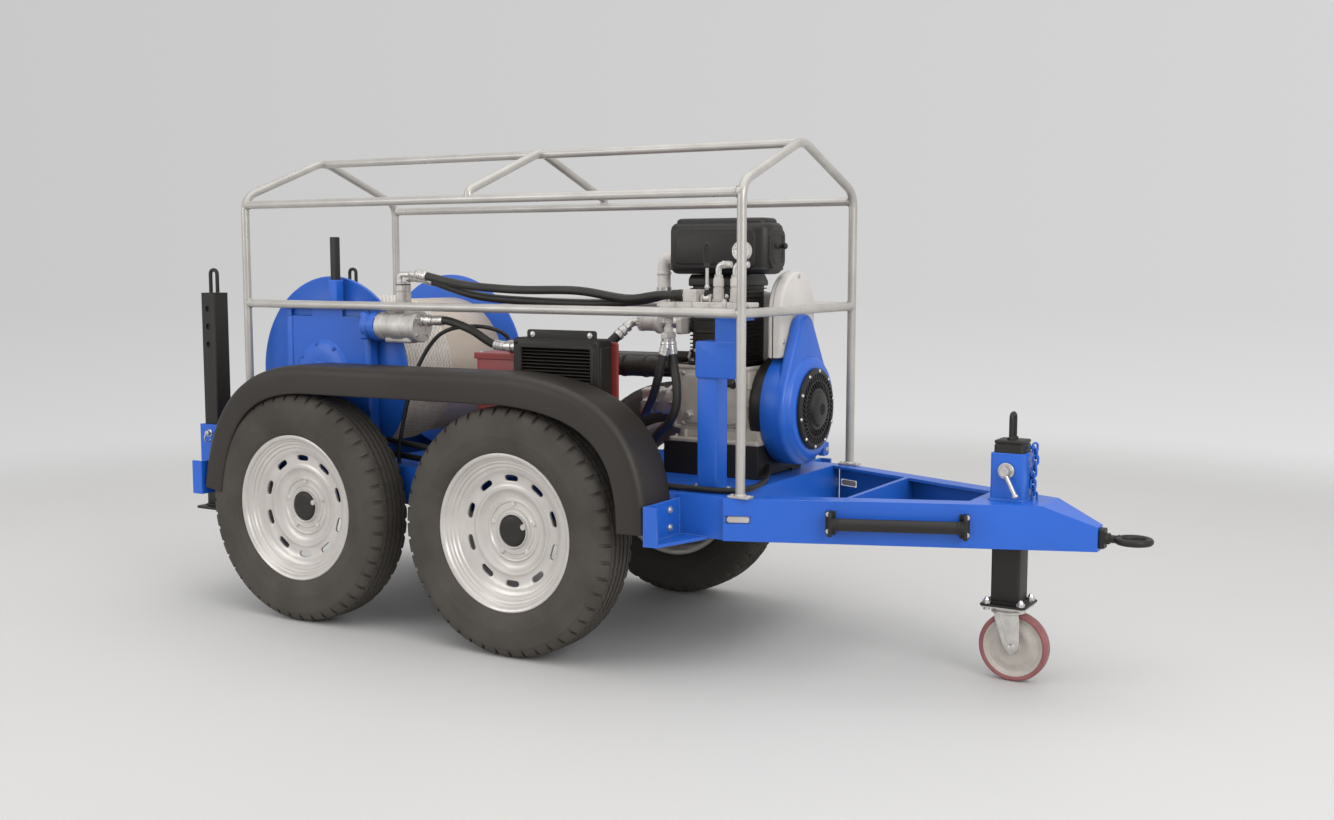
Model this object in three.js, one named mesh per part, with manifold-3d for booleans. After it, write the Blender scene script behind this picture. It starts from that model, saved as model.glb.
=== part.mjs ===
// Trailer-mounted hydraulic cable pulling machine, in millimetres, +Z up.
// The towing eye points along +X. The origin is on the ground under the middle of the whole machine.
// Inside the file, x is counted from the middle between the two axles, y from the middle plane and
// z from the ground. One group at the end moves the machine so that the origin is in its middle.

import * as THREE from 'three';
import { mergeVertices } from 'three/addons/utils/BufferGeometryUtils.js';
import Module from 'manifold-3d';

const wasm = await Module();
wasm.setup();

// Fits shared by all pieces
const seat = 0.3;
const runGap = 0.5;
const slideGap = 0.5;
const overrun = 4;
const weldLap = 1;

// Running gear
const axleSpacing = 774;
const tyreRadius = 343;
const tyreWidth = 150;
const tyreWall = 14;
const tyreWallShares = [[0.2, 0.93], [0.51, 1], [0.87, 0.88]];
const tyreInnerShares = [[0.29, 0.82], [0.91, 0.82]];
const treadHalfShare = 0.56;
const rimRadius = 217;
const rimWidth = 112;
const rimSheet = 5;
const rimLip = 13;
const discInset = 50;
const discDish = 24;
const hubFaceRadius = 100;
const hubRadius = 43;
const hubStandout = 16;
const hubCap = 10;
const hubWall = 16;
const slotCircleRadius = 146;
const slotLength = 44;
const slotWidth = 17;
const slotCount = 10;
const spindleRadius = 16;
const axleBeam = 60;
const tyreToRail = 15;

// Chassis
const frameTop = 471;
const railHeight = 111;
const railFlange = 55;
const railWall = 8;
const frameHalfWidth = 360;
const rearOverhang = 468;
const frontOverhang = 598;
const deckThickness = 6;
const memberThickness = 12;
const drumWellGap = 8;

// Fender brackets
const bracketHeight = 102;
const bracketDrop = 12;
const bracketFlange = 40;
const bracketWeb = 90;
const bracketWall = 8;

// Fenders
const fenderOverhang = 5;
const fenderSheet = 5;
const fenderLip = 80;
const fenderRound = 26;
const fenderInset = 20;
const fenderRearReach = 368;
const fenderFrontReach = 456;
const fenderTop = 775;
const fenderEndHeight = 384;
const fenderRearShoulder = 210;
const fenderFrontShoulder = 225;
const fenderBendSteps = 7;
const rearCurveShares = [[0, 0], [0.17, 0.62], [0.72, 0.97], [2, 0.99]];
const frontCurveShares = [[2, 1], [0.62, 0.97], [0, 0.68], [0, 0]];
const roundCornerShare = 0.29;
const roundSheetShare = 0.71;

// Drawbar
const drawbarLength = 860;
const drawbarHalfWidth = 372;
const noseHalfWidth = 24;
const noseLength = 305;
const noseSlopeLength = 125;
const noseSlopeDrop = 51;
const drawbarMemberPlace = 268;
const drawbarSlotPlace = 35;
const drawbarSlotLength = 62;
const drawbarSlotHeight = 20;

// Grab handles on the drawbar
const handlePlace = 250;
const handleLength = 342;
const handleRadius = 16;
const handlePlateHeight = 62;
const handlePlateThickness = 9;
const handlePlateDepth = 44;

// Towing eye
const eyeHeight = 392;
const eyeBlockThickness = 14;
const eyeBlockHalfWidth = 18;
const eyeBlockHeight = 50;
const eyeShankRadius = 10;
const eyeShankLength = 30;
const eyeRingRadius = 38;
const eyeWireRadius = 9;

// Jockey leg and castor
const jockeySetback = 225;
const jockeyColumn = 75;
const jockeyColumnTop = 623;
const jockeySleeveWall = 5.5;
const jockeySleeveTop = 592;
const loopWire = 6;
const jockeyLoopHeight = 72;
const jockeyLoopWidth = 28;
const clampDrop = 44;
const clampDiscRadius = 21;
const clampDiscThickness = 12;
const clampScrewRadius = 8;
const clampBarRadius = 6;
const clampBarLength = 70;
const castorRadius = 90;
const castorWidth = 38;
const castorTrail = 17;
const castorTread = 12;
const castorHubRadius = 20;
const castorPin = 6;
const castorRoom = 3;
const castorCrown = 9;
const castorCrownRadius = 40;
const castorForkSheet = 5;
const castorForkGap = 5;
const castorForkWidth = 56;
const castorPlate = 118;
const castorPlateThickness = 10;
const castorBoltRadius = 8;
const castorBoltInset = 15;
const castorBoltHead = 8;

// Rear stands
const standOffset = 14;
const standColumn = 60;
const standWall = 6;
const standTop = 970;
const standFootHeight = 272;
const standFoot = 110;
const standFootThickness = 8;
const standSleeveWall = 9.5;
const standSleeveTop = 548;
const standLoopHeight = 80;
const standLoopWidth = 30;
const standHoleRadius = 10;
const standHolePitch = 57;
const standHoleDrop = 50;
const standHoleCount = 3;

// Canopy frame
const canopyTube = 12.5;
const canopyInset = 12;
const canopyRear = 728;
const canopyFront = 1023;
const canopyTrussPlace = 157;
const sideRailHeight = 941;
const canopyClearance = 54;
const ridgeRise = 129;
const hoopCornerRise = 24;
const hoopBend = 45;
const trussBend = 14;
const canopyFootLength = 62;
const canopyFootWidth = 34;
const canopyFootThickness = 6;

// Winch
const drumPlace = -427;
const drumHeight = 730;
const drumFlangeRadius = 297;
const drumFlange = 8;
const drumInset = 80;
const drumCoreRadius = 220;
const drumWall = 12;
const drumBossRadius = 70;
const drumBossDepth = 22;
const anchorHoleRadius = 9;
const ropeRadius = 6.5;
const ropePitch = 14;
const ropeLoops = 20;
const ropeSteps = 12;
const ropeSides = 4;
const pedestalLength = 340;
const pedestalOffset = 22;
const pedestalRise = 215;
const farPedestalLength = 240;
const farPedestalRise = 130;
const pedestalWall = 9;
const pedestalRunGap = 8;
const pedestalRailGap = 1.5;
const gearDomeRadius = 105;
const gearDomeHeight = 12;
const gearHubRadius = 38;
const gearHubHeight = 7;
const pedestalSlotLength = 88;
const pedestalSlotHeight = 18;
const pedestalSlotDrop = 12;
const pedestalSlotInset = 20;
const lockBar = 22;
const lockBarStandout = 129;
const lockSocketRise = 71;
const lockSocketWall = 5;
const lockSocketPlace = 42;
const lockSocketDepth = 70;

// Winch motor with its valve block
const gearboxLength = 48;
const motorRadius = 41;
const motorRise = 152;
const motorLength = 140;
const motorDrumGap = 3;
const motorCheekShare = 0.8;
const motorFlange = 14;
const motorFlangeShare = 1.12;
const adaptorRadius = 17;
const adaptorRise = 20;
const adaptorLength = 42;
const valveBlockSetback = 56;
const valveBlockLength = 70;
const valveBlockWidth = 60;
const valveBlockRise = 26;
const cartridgeRadius = 12;
const cartridgeHeight = 62;
const cartridgeSpacing = 32;
const elbowRadius = 9;
const elbowReach = 66;
const elbowRise = 32;

// Oil tank and oil cooler
const tankPlace = 98;
const tankLength = 200;
const tankSetback = 14;
const tankFarSide = 200;
const tankTop = 808;
const tankLid = 5;
const tankLidLip = 6;
const tankShieldLength = 290;
const tankShieldThickness = 10;
const tankShieldTop = 850;
const coolerPlace = 294;
const coolerLength = 286;
const coolerTop = 859;
const coolerHeight = 290;
const coolerDepth = 66;
const coolerInset = 30;
const coolerTabInset = 48;
const coolerTabLength = 230;
const coolerTabRise = 26;
const coolerTabThickness = 6;
const coolerLeg = 34;
const louvreFieldInset = 28;
const louvreFieldDrop = 26;
const louvreFieldHeight = 130;
const louvreDepth = 20;
const louvreCount = 6;
const louvreThickness = 4;
const coolerPortRadius = 17;
const coolerPortLength = 50;
const coolerPortDrop = 26;

// Control post, valve and lever
const controlPlace = 868;
const controlPost = 60;
const controlInset = 60;
const controlPostTop = 866;
const controlPlateLength = 142;
const controlPlateHeight = 96;
const controlPlateThickness = 6;
const controlUprightInset = 56;
const controlUprightTop = 928;
const valvePlace = 752;
const valveLength = 250;
const valveTop = 967;
const valveDepth = 52;
const valveEndLength = 20;
const valvePortLength = 40;
const valvePortHeight = 32;
const valvePortPlace = 72;
const gaugeRadius = 25;
const gaugeDepth = 20;
const gaugeHeight = 1099;
const gaugePlace = 985;
const cartridgePlaces = [917, 967];
const controlCartridgeRadius = 14;
const controlCartridgeHeight = 70;
const controlElbowRadius = 8;
const controlElbowRise = 27;
const controlElbowReach = 38;
const dropPortPlace = 766;
const dropPortRadius = 14;
const dropPortLength = 66;
const dropPortSpread = 13;
const dropTeeHeight = 26;
const leverPlace = 883;
const leverTop = 1141;
const leverRod = 4;
const leverGrip = 8;
const leverGripLength = 88;
const leverGripTaperShare = 0.6;
const leverBarrelRadius = 10;
const leverBarrelLength = 20;
const leverPin = 4;
const leverEar = 5;

// Engine
const crankSide = 105;
const crankHeight = 660;
const enginePlace = 640;
const engineLength = 285;
const crankcaseNearSide = 40;
const crankcaseFarSide = 200;
const crankcaseTop = 783;
const sumpTop = 600;
const sumpFlange = 20;
const sumpFlangeThickness = 12;
const skidHeight = 92;
const skidBar = 60;
const skidOverhang = 16;
const lobeSteps = 6;
const cylinderPlace = 690;
const cylinderLength = 156;
const cylinderNearSide = 40;
const cylinderFarSide = 160;
const cylinderTop = 1036;
const cylinderTaper = 22;
const cowlDepth = 43;
const cowlWidth = 217;
const cowlBottom = 806;
const cowlRiseShare = 0.0356;
const cowlArchShare = 0.454;
const cowlSteps = 8;
const ductWidth = 92;
const ductShare = 0.8;
const fanHousingDepth = 75;
const fanHousingRadius = 160;
const fanHousingWall = 8;
const fanLobeSide = 95;
const fanLobeTop = 926;
const fanLobeDepth = 35;
const fanLobeRadius = 52;
const fanNoseRadius = 148;
const fanNoseFrontRadius = 124;
const fanNoseDepth = 18;
const fanInletRadius = 106;
const fanCoverRadius = 114;
const fanCoverDepth = 12;
const fanCoverDome = 48;
const fanCoverDomeDepth = 14;
const flywheelRadius = 104;
const flywheelDisc = 10;
const flywheelBladeDepth = 26;
const flywheelBladeHeight = 44;
const flywheelBladeThickness = 5;
const flywheelBladeCount = 10;
const crankStubRadius = 20;
const airFilterPlace = 629;
const airFilterLength = 318;
const airFilterNearSide = 60;
const airFilterFarSide = 70;
const airFilterHeight = 156;
const airFilterRound = 40;
const airFilterLidInset = 12;
const airFilterLidStep = 14;
const airFilterLidCount = 2;
const airFilterKnobRadius = 10;
const airFilterKnobLength = 30;
const airFilterKnobRise = 78;
const knobTaperShare = 0.6;
const intakeRadius = 19;
const intakeSide = 0;
const intakeOffset = 40;
const intakeRise = 44;
const intakePortShare = 0.4625;
const intakeBend = 28;
const mufflerPlace = 430;
const mufflerLength = 130;
const mufflerTaper = 45;
const mufflerRadius = 30;
const mufflerSide = 0;
const mufflerHeight = 768;
const mufflerStubRadius = 16;
const mufflerStubRise = 33;
const mufflerStubBend = 8;
const filterPlace = 545;
const filterLength = 62;
const filterRadius = 25;
const filterSide = 62;
const filterHeight = 900;
const filterHeadRadius = 32;
const filterHeadLength = 16;
const filterArmRadius = 14;
const pumpLength = 82;
const pumpBodyHalf = 38;
const pumpBellRadius = 60;
const pumpBellLength = 85;
const bellTaperShare = 0.8;
const pumpPortRadius = 15;
const pumpPortLength = 20;

// Hoses. Each route is a list of points chosen by hand, in the file's own axes.
const hoseRadius = 12;
const drainHoseRadius = 6;
const hoseSides = 8;
const hoseExit = 12;
const supplyRoute = [[100, -312, 1006], [280, -302, 993], [490, -293, 992], [655, -289, 972], [745, -288, 983]];
const returnRoute = [[132, -285, 974], [317, -279, 961], [559, -268, 958], [690, -261, 970], [750, -259, 983]];
const coolerRoute = [[60, -332, 902], [140, -325, 878], [200, -305, 840]];
const drainFoot = [-150, -310];
const drainRoute = [
  [-148, -310, 520], [-84, -310, 736], [-8, -312, 842], [40, -312, 872],
  [110, -308, 886], [172, -278, 882], [204, -240, 858],
];
const drainEnd = [210, -225];
const pressureRoute = [
  [754, -287, 812], [728, -270, 750], [682, -215, 706], [620, -140, 664], [560, -60, 640], [520, 0, 652],
];
const reliefRoute = [
  [775, -262, 800], [789, -270, 742], [788, -270, 690], [757, -250, 644], [692, -200, 604], [632, -160, 548],
];
const reliefFoot = [605, -142];

// Facets
const wheelFacets = 16;
const drumFacets = 20;
const rodFacets = 12;
const smallFacets = 8;
const wireFacets = 6;
const bendSteps = 3;

const finishes = {
  bluePaint: { color: 0x2f57cc, roughness: 0.3, metalness: 0.1 },
  blackPaint: { color: 0x2c2a28, roughness: 0.45, metalness: 0.1 },
  whitePaint: { color: 0xd9d5d0, roughness: 0.35, metalness: 0.1 },
  redPaint: { color: 0x9a3034, roughness: 0.4, metalness: 0.1 },
  rubber: { color: 0x35322e, roughness: 0.85, metalness: 0 },
  hoseRubber: { color: 0x2a2826, roughness: 0.7, metalness: 0 },
  fenderSteel: { color: 0x3f3b37, roughness: 0.55, metalness: 0.1 },
  wheelSilver: { color: 0xbcb8b3, roughness: 0.35, metalness: 0.6 },
  castAluminium: { color: 0x9c9993, roughness: 0.5, metalness: 0.7 },
  zincPlate: { color: 0xb9b7b2, roughness: 0.35, metalness: 0.8 },
  ropeFibre: { color: 0x9a9792, roughness: 0.7, metalness: 0.1 },
  redPolymer: { color: 0x9a4a50, roughness: 0.5, metalness: 0 },
};
const materials = Object.fromEntries(
  Object.entries(finishes).map(([name, values]) => [name, new THREE.MeshStandardMaterial(values)]),
);

// Solids from three.js geometry

function signedVolume(points, corners) {
  const [a, b, c] = [new THREE.Vector3(), new THREE.Vector3(), new THREE.Vector3()];
  let total = 0;
  for (let i = 0; i < corners.length; i += 3) {
    a.fromArray(points, corners[i] * 3);
    b.fromArray(points, corners[i + 1] * 3);
    c.fromArray(points, corners[i + 2] * 3);
    total += a.dot(b.cross(c)) / 6;
  }
  return total;
}

// A closed solid whose shared corners are merged, without collapsed triangles, facing outwards.
function solidOf(geometry) {
  geometry.deleteAttribute('normal');
  geometry.deleteAttribute('uv');
  const merged = mergeVertices(geometry);
  const points = merged.attributes.position.array;
  const source = merged.index.array;
  const corners = [];
  for (let i = 0; i < source.length; i += 3) {
    const [a, b, c] = [source[i], source[i + 1], source[i + 2]];
    if (a !== b && b !== c && c !== a) corners.push(a, b, c);
  }
  if (signedVolume(points, corners) < 0) corners.reverse();
  const mesh = new wasm.Mesh({
    numProp: 3,
    vertProperties: new Float32Array(points),
    triVerts: new Uint32Array(corners),
  });
  return new wasm.Manifold(mesh);
}

function geometryOf(solid) {
  const mesh = solid.getMesh();
  const geometry = new THREE.BufferGeometry();
  geometry.setAttribute('position', new THREE.BufferAttribute(new Float32Array(mesh.vertProperties), 3));
  geometry.setIndex(new THREE.BufferAttribute(new Uint32Array(mesh.triVerts), 1));
  return geometry;
}

function join(first, ...others) {
  return others.reduce((whole, piece) => whole.add(piece), first);
}

function cut(body, ...tools) {
  return tools.reduce((rest, tool) => rest.subtract(tool), body);
}

function mirrorY(solid) {
  return solidOf(geometryOf(solid).scale(1, -1, 1));
}

// A box from its lowest and highest value on each axis.
function block([x0, x1], [y0, y1], [z0, z1]) {
  const shape = new THREE.BoxGeometry(x1 - x0, y1 - y0, z1 - z0);
  return solidOf(shape.translate((x0 + x1) / 2, (y0 + y1) / 2, (z0 + z1) / 2));
}

// A round bar along one axis, at the two other coordinates in the order x, y, z.
function rod(axis, radius, [from, to], [first, second], facets = rodFacets, farRadius = radius) {
  const shape = new THREE.CylinderGeometry(farRadius, radius, to - from, facets);
  const middle = (from + to) / 2;
  if (axis === 'x') shape.rotateZ(-Math.PI / 2).translate(middle, first, second);
  if (axis === 'y') shape.translate(first, middle, second);
  if (axis === 'z') shape.rotateX(Math.PI / 2).translate(first, second, middle);
  return solidOf(shape);
}

// A flat outline given thickness along an axis. The outline holds the two other coordinates.
function prism(axis, outline, [from, to]) {
  const shape = new THREE.Shape(outline.map(([u, v]) => new THREE.Vector2(u, v)));
  const body = new THREE.ExtrudeGeometry(shape, { depth: to - from, bevelEnabled: false, steps: 1 });
  const turn = new THREE.Matrix4();
  const [x, y, z] = [new THREE.Vector3(1, 0, 0), new THREE.Vector3(0, 1, 0), new THREE.Vector3(0, 0, 1)];
  if (axis === 'x') body.translate(0, 0, from).applyMatrix4(turn.makeBasis(y, z, x));
  if (axis === 'y') body.translate(0, 0, -to).applyMatrix4(turn.makeBasis(x, z, y.clone().negate()));
  if (axis === 'z') body.translate(0, 0, from);
  return solidOf(body);
}

// A profile of radius and height turned about the y axis through the origin. A closed profile
// that stays off the axis ends where it starts.
function turned(profile, facets, closed = true) {
  const points = profile.map(([radius, height]) => new THREE.Vector2(radius, height));
  if (closed) points.push(points[0].clone());
  return solidOf(new THREE.LatheGeometry(points, facets).rotateY(Math.PI / facets));
}

// A path that runs straight from point to point, with one ring of the swept section at each point.
class PointPath extends THREE.Curve {
  constructor(points) {
    super();
    this.points = points;
  }

  getPointAt(share) {
    const place = Math.min(share, 1) * (this.points.length - 1);
    const index = Math.min(Math.floor(place + Number.EPSILON), this.points.length - 2);
    return this.points[index].clone().lerp(this.points[index + 1], place - index);
  }

  getTangentAt(share) {
    const last = this.points.length - 1;
    const index = Math.round(share * last);
    const before = this.points[Math.max(index - 1, 0)];
    const after = this.points[Math.min(index + 1, last)];
    return after.clone().sub(before).normalize();
  }
}

function ringShape(radius, sides) {
  const points = [];
  for (let i = 0; i < sides; i += 1) {
    const angle = ((i + 0.5) / sides) * Math.PI * 2;
    points.push(new THREE.Vector2(Math.cos(angle) * radius, Math.sin(angle) * radius));
  }
  return new THREE.Shape(points);
}

function swept(shape, points) {
  const path = new PointPath(points);
  const options = { steps: points.length - 1, bevelEnabled: false, extrudePath: path };
  return solidOf(new THREE.ExtrudeGeometry(shape, options));
}

// Corners of a bent tube, each replaced by a short curve.
function rounded(corners, bend, steps = bendSteps) {
  const points = corners.map((corner) => new THREE.Vector3(...corner));
  const path = [points[0]];
  for (let i = 1; i < points.length - 1; i += 1) {
    const toward = points[i - 1].clone().sub(points[i]).normalize().multiplyScalar(bend);
    const away = points[i + 1].clone().sub(points[i]).normalize().multiplyScalar(bend);
    const start = points[i].clone().add(toward);
    const end = points[i].clone().add(away);
    path.push(...new THREE.QuadraticBezierCurve3(start, points[i], end).getPoints(steps));
  }
  path.push(points[points.length - 1]);
  return path;
}

function tube(corners, radius, bend, sides = smallFacets) {
  return swept(ringShape(radius, sides), rounded(corners, bend));
}

// A hose along a smooth curve through its points. It leaves and arrives straight.
function hose(points, radius, steps, [leave, arrive]) {
  const path = points.map((point) => new THREE.Vector3(...point));
  const [start, end] = [path[0], path[path.length - 1]];
  const curve = new THREE.CatmullRomCurve3([
    start.clone().addScaledVector(new THREE.Vector3(...leave), hoseExit),
    ...path.slice(1, -1),
    end.clone().addScaledVector(new THREE.Vector3(...arrive), -hoseExit),
  ]);
  return swept(ringShape(radius, hoseSides), [start, ...curve.getSpacedPoints(steps - 2), end]);
}

// The machine

const machine = new THREE.Group();

function add(name, solid, material, holder = machine) {
  const mesh = new THREE.Mesh(geometryOf(solid), material);
  mesh.name = name;
  holder.add(mesh);
  return mesh;
}

const axlePlace = axleSpacing / 2;
const frameBottom = frameTop - railHeight;
const frameRear = -axlePlace - rearOverhang;
const frameFront = axlePlace + frontOverhang;
const tyreInner = frameHalfWidth + tyreToRail;
const wheelSide = tyreInner + tyreWidth / 2;
const fenderOuter = tyreInner + tyreWidth + fenderOverhang;
const standSleeve = standColumn + (slideGap + standSleeveWall) * 2;
const standPlace = frameRear - standOffset - standSleeve / 2;
const standSide = frameHalfWidth - standSleeve / 2;
const standInside = standColumn / 2 + slideGap;
const fenderRearEnd = -axlePlace - fenderRearReach;
const fenderFrontEnd = axlePlace + fenderFrontReach;
const canopyHalfWidth = frameHalfWidth - canopyInset;
const eaveHeight = cylinderTop + airFilterHeight + canopyClearance;
const ridgeHeight = eaveHeight + hoopCornerRise + ridgeRise;
const drumHalfWidth = frameHalfWidth - drumInset;
const pedestalTop = drumHeight + pedestalRise;
const farPedestalTop = drumHeight + farPedestalRise;
const lockSocketTop = pedestalTop + lockSocketRise;
const lockBarTop = lockSocketTop + lockBarStandout;
const motorHeight = drumHeight + motorRise;
const coolerNearSide = frameHalfWidth - coolerInset;
const tankNearSide = coolerNearSide - coolerDepth - tankSetback;
const controlNearSide = frameHalfWidth - controlInset;
const pedestalOuter = canopyHalfWidth - canopyTube - pedestalRailGap;
const pedestalInner = drumHalfWidth + drumFlange + pedestalRunGap;
const motorSide = drumHalfWidth + drumFlange + motorDrumGap + motorRadius;
const pedestalRear = drumPlace + pedestalOffset - pedestalLength / 2;
const pedestalFront = pedestalRear + pedestalLength;
const deckLevel = frameTop + seat;
const skidTop = deckLevel + skidHeight;
const engineFront = enginePlace + engineLength;

function mainFrame() {
  const inside = frameHalfWidth - railWall;
  const lower = frameBottom + railWall;
  const upper = frameTop - railWall;
  const railEdge = -frameHalfWidth + railFlange;
  const channelOutline = [
    [-frameHalfWidth, frameBottom], [railEdge, frameBottom], [railEdge, lower], [-inside, lower],
    [-inside, upper], [railEdge, upper], [railEdge, frameTop], [-frameHalfWidth, frameTop],
  ];
  const rail = prism('x', channelOutline, [frameRear, frameFront]);
  const half = memberThickness / 2;
  const memberPlaces = [
    frameRear + half, pedestalRear - memberThickness, pedestalFront, tankPlace, tankPlace + tankLength,
    enginePlace, frameFront - half,
  ];
  const members = memberPlaces.map((place) => block(
    [place - half, place + half], [-inside - weldLap, inside + weldLap], [frameBottom, frameTop],
  ));
  const deck = block([frameRear, frameFront], [-inside, inside], [frameTop - deckThickness, frameTop]);
  const body = join(rail, mirrorY(rail), cut(deck, ...drumWell()), ...members);
  return join(body, ...standSleeves(), ...fenderBrackets());
}

// The opening in the deck that the drum's flanges reach into; a drum held clear of the deck needs none.
function drumWell() {
  const fall = drumHeight - frameTop + deckThickness;
  const reach = drumFlangeRadius + drumWellGap;
  if (fall >= reach) {
    return [];
  }
  const half = Math.sqrt(reach ** 2 - fall ** 2);
  const side = drumHalfWidth + drumFlange + drumWellGap;
  return [block([drumPlace - half, drumPlace + half], [-side, side],
    [frameTop - deckThickness - overrun, frameTop + overrun])];
}

function standSleeves() {
  const half = standSleeve / 2;
  const sleeve = cut(
    block([standPlace - half, frameRear + weldLap], [-standSide - half, -standSide + half],
      [frameBottom, standSleeveTop]),
    block([standPlace - standInside, standPlace + standInside],
      [-standSide - standInside, -standSide + standInside],
      [frameBottom - overrun, standSleeveTop + overrun]),
  );
  return [sleeve, mirrorY(sleeve)];
}

// An angle bracket at one fender end: a plate across the rail, a lip outside and a web below.
function fenderBracket(place, way) {
  const top = frameTop - bracketDrop;
  const bottom = top - bracketHeight;
  const inner = -frameHalfWidth + weldLap;
  const ordered = (a, b) => [Math.min(a, b), Math.max(a, b)];
  const far = place + way * bracketWall;
  const plate = block(ordered(place, far), [-fenderOuter, inner], [bottom, top]);
  const lip = block(ordered(place, place + way * bracketFlange),
    [-fenderOuter, -fenderOuter + bracketWall], [bottom, top]);
  const webOutline = [
    [place, -fenderOuter], [place + way * bracketFlange, -fenderOuter],
    [place + way * bracketWeb, inner], [place, inner],
  ];
  return join(plate, lip, prism('z', webOutline, [bottom, bottom + bracketWall]));
}

function fenderBrackets() {
  const front = fenderBracket(fenderFrontEnd + seat, 1);
  const rear = fenderBracket(fenderRearEnd - seat, -1);
  return [front, rear, mirrorY(front), mirrorY(rear)];
}

add('main_frame', mainFrame(), materials.bluePaint);

// Fender: a rolled strip over both wheels, with its outer edge rounded down into a lip.
function fender() {
  const rise = fenderTop - fenderEndHeight;
  const curve = (shares, start, reach) => new THREE.CubicBezierCurve3(...shares.map(([along, up]) => (
    new THREE.Vector3(start + reach * along, 0, fenderEndHeight + rise * up)
  )));
  const points = [
    ...curve(rearCurveShares, fenderRearEnd, fenderRearShoulder).getPoints(fenderBendSteps),
    ...curve(frontCurveShares, fenderFrontEnd, -fenderFrontShoulder).getPoints(fenderBendSteps),
  ];
  const outer = fenderOuter;
  const inner = frameHalfWidth + fenderInset;
  const round = fenderRound;
  const sheet = fenderSheet;
  const corner = round * roundCornerShare;
  const outline = [
    [inner, 0], [outer - round, 0], [outer - corner, corner], [outer, round], [outer, fenderLip],
    [outer - sheet, fenderLip], [outer - sheet, round],
    [outer - corner - sheet * roundSheetShare, corner + sheet * roundSheetShare],
    [outer - round, sheet], [inner, sheet],
  ];
  const section = new THREE.Shape(outline.map(([across, inward]) => new THREE.Vector2(across, inward)));
  return swept(section, points);
}
const rightFender = fender();
add('fender_right', rightFender, materials.fenderSteel);
add('fender_left', mirrorY(rightFender), materials.fenderSteel);

// Across the wheel, from its middle plane: the hub face and the closed end of the hub's bore.
const hubFace = -rimWidth / 2 + discInset;
const hubBoreEnd = hubFace - hubStandout + hubCap;

// Axles: a square beam under both rails, with a round spindle at each end.
function axle() {
  const top = frameBottom - seat;
  const half = axleBeam / 2;
  const beam = block([-half, half], [-frameHalfWidth, frameHalfWidth], [top - axleBeam, top]);
  const reach = wheelSide - hubBoreEnd - runGap;
  const spindle = rod('y', spindleRadius, [-reach, reach], [0, tyreRadius]);
  return join(beam, spindle);
}
for (const [name, way] of [['front', 1], ['rear', -1]]) {
  add(`${name}_axle`, axle(), materials.blackPaint).position.x = way * axlePlace;
}

// Wheels. Local y runs along the axle, and the outer face looks towards -y.
const facetStretch = 1 / Math.cos(Math.PI / wheelFacets);

function stretched(profile) {
  return profile.map(([radius, height]) => [radius * facetStretch, height]);
}

function tyre() {
  const bead = rimRadius - rimLip + seat;
  const depth = tyreRadius - bead;
  const half = tyreWidth / 2;
  const beadSide = rimWidth / 2 - seat;
  const outer = [
    [bead, beadSide - tyreWall], [bead, beadSide], [rimRadius + seat, beadSide],
    ...tyreWallShares.map(([up, out]) => [bead + depth * up, half * out]),
    [tyreRadius, half * treadHalfShare],
  ];
  const inner = tyreInnerShares.map(([up, out]) => [bead + (depth - tyreWall) * up, (half - tyreWall) * out]);
  const across = (points) => points.map(([radius, side]) => [radius, -side]);
  const loop = [...outer, ...across(outer).reverse(), ...across(inner), ...inner.slice().reverse()];
  return turned(stretched(loop), wheelFacets);
}

function rim() {
  const seatRadius = rimRadius - rimLip;
  const inside = seatRadius - rimSheet;
  const half = rimWidth / 2;
  const lip = half + rimSheet;
  const face = hubFace;
  const edge = face - discDish;
  const bore = spindleRadius + runGap;
  const hub = spindleRadius + hubWall;
  const profile = [
    [0, face - hubStandout], [hubRadius, face - hubStandout], [hubRadius, face], [hubFaceRadius, face],
    [inside, edge], [inside, -lip], [rimRadius, -lip], [rimRadius, -half], [seatRadius, -half],
    [seatRadius, half], [rimRadius, half], [rimRadius, lip], [inside, lip], [inside, edge + rimSheet],
    [hubFaceRadius, face + rimSheet], [hub, face + rimSheet], [hub, half], [bore, half],
    [bore, hubBoreEnd], [0, hubBoreEnd],
  ];
  const body = turned(stretched(profile), wheelFacets, false);
  const slots = Array.from({ length: slotCount }, (_, index) => {
    const long = slotLength / 2;
    const wide = slotWidth / 2;
    const outline = [[-long, -wide], [long, -wide], [long, wide], [-long, wide]].map(([across, out]) => [
      across, out + slotCircleRadius,
    ]);
    const hole = prism('y', outline, [edge - overrun, face + rimSheet + overrun]);
    const turn = (index / slotCount) * Math.PI * 2;
    return solidOf(geometryOf(hole).rotateY(turn));
  });
  return cut(body, ...slots);
}

const wheelNames = [];
for (const [end, way] of [['front', 1], ['rear', -1]]) {
  for (const [side, hand] of [['right', 1], ['left', -1]]) {
    const wheel = new THREE.Group();
    wheel.position.set(way * axlePlace, -hand * wheelSide, tyreRadius);
    wheel.rotation.z = hand > 0 ? 0 : Math.PI;
    machine.add(wheel);
    wheelNames.push([`${end}_${side}`, wheel]);
  }
}
const tyreSolid = tyre();
const rimSolid = rim();
for (const [name, wheel] of wheelNames) {
  add(`tyre_${name}`, tyreSolid, materials.rubber, wheel);
  add(`rim_${name}`, rimSolid, materials.wheelSilver, wheel);
}

// Drawbar: two channels that meet in a closed nose.
const noseEnd = frameFront + seat + drawbarLength;
const drawbarSlope = (drawbarHalfWidth - noseHalfWidth) / drawbarLength;
const drawbarStretch = Math.hypot(1, drawbarSlope);
const jockeyPlace = noseEnd - jockeySetback;
const jockeySleeve = jockeyColumn + (slideGap + jockeySleeveWall) * 2;

function drawbarEdge(place, inset) {
  return drawbarHalfWidth - (place - frameFront - seat) * drawbarSlope - inset * drawbarStretch;
}

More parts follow.
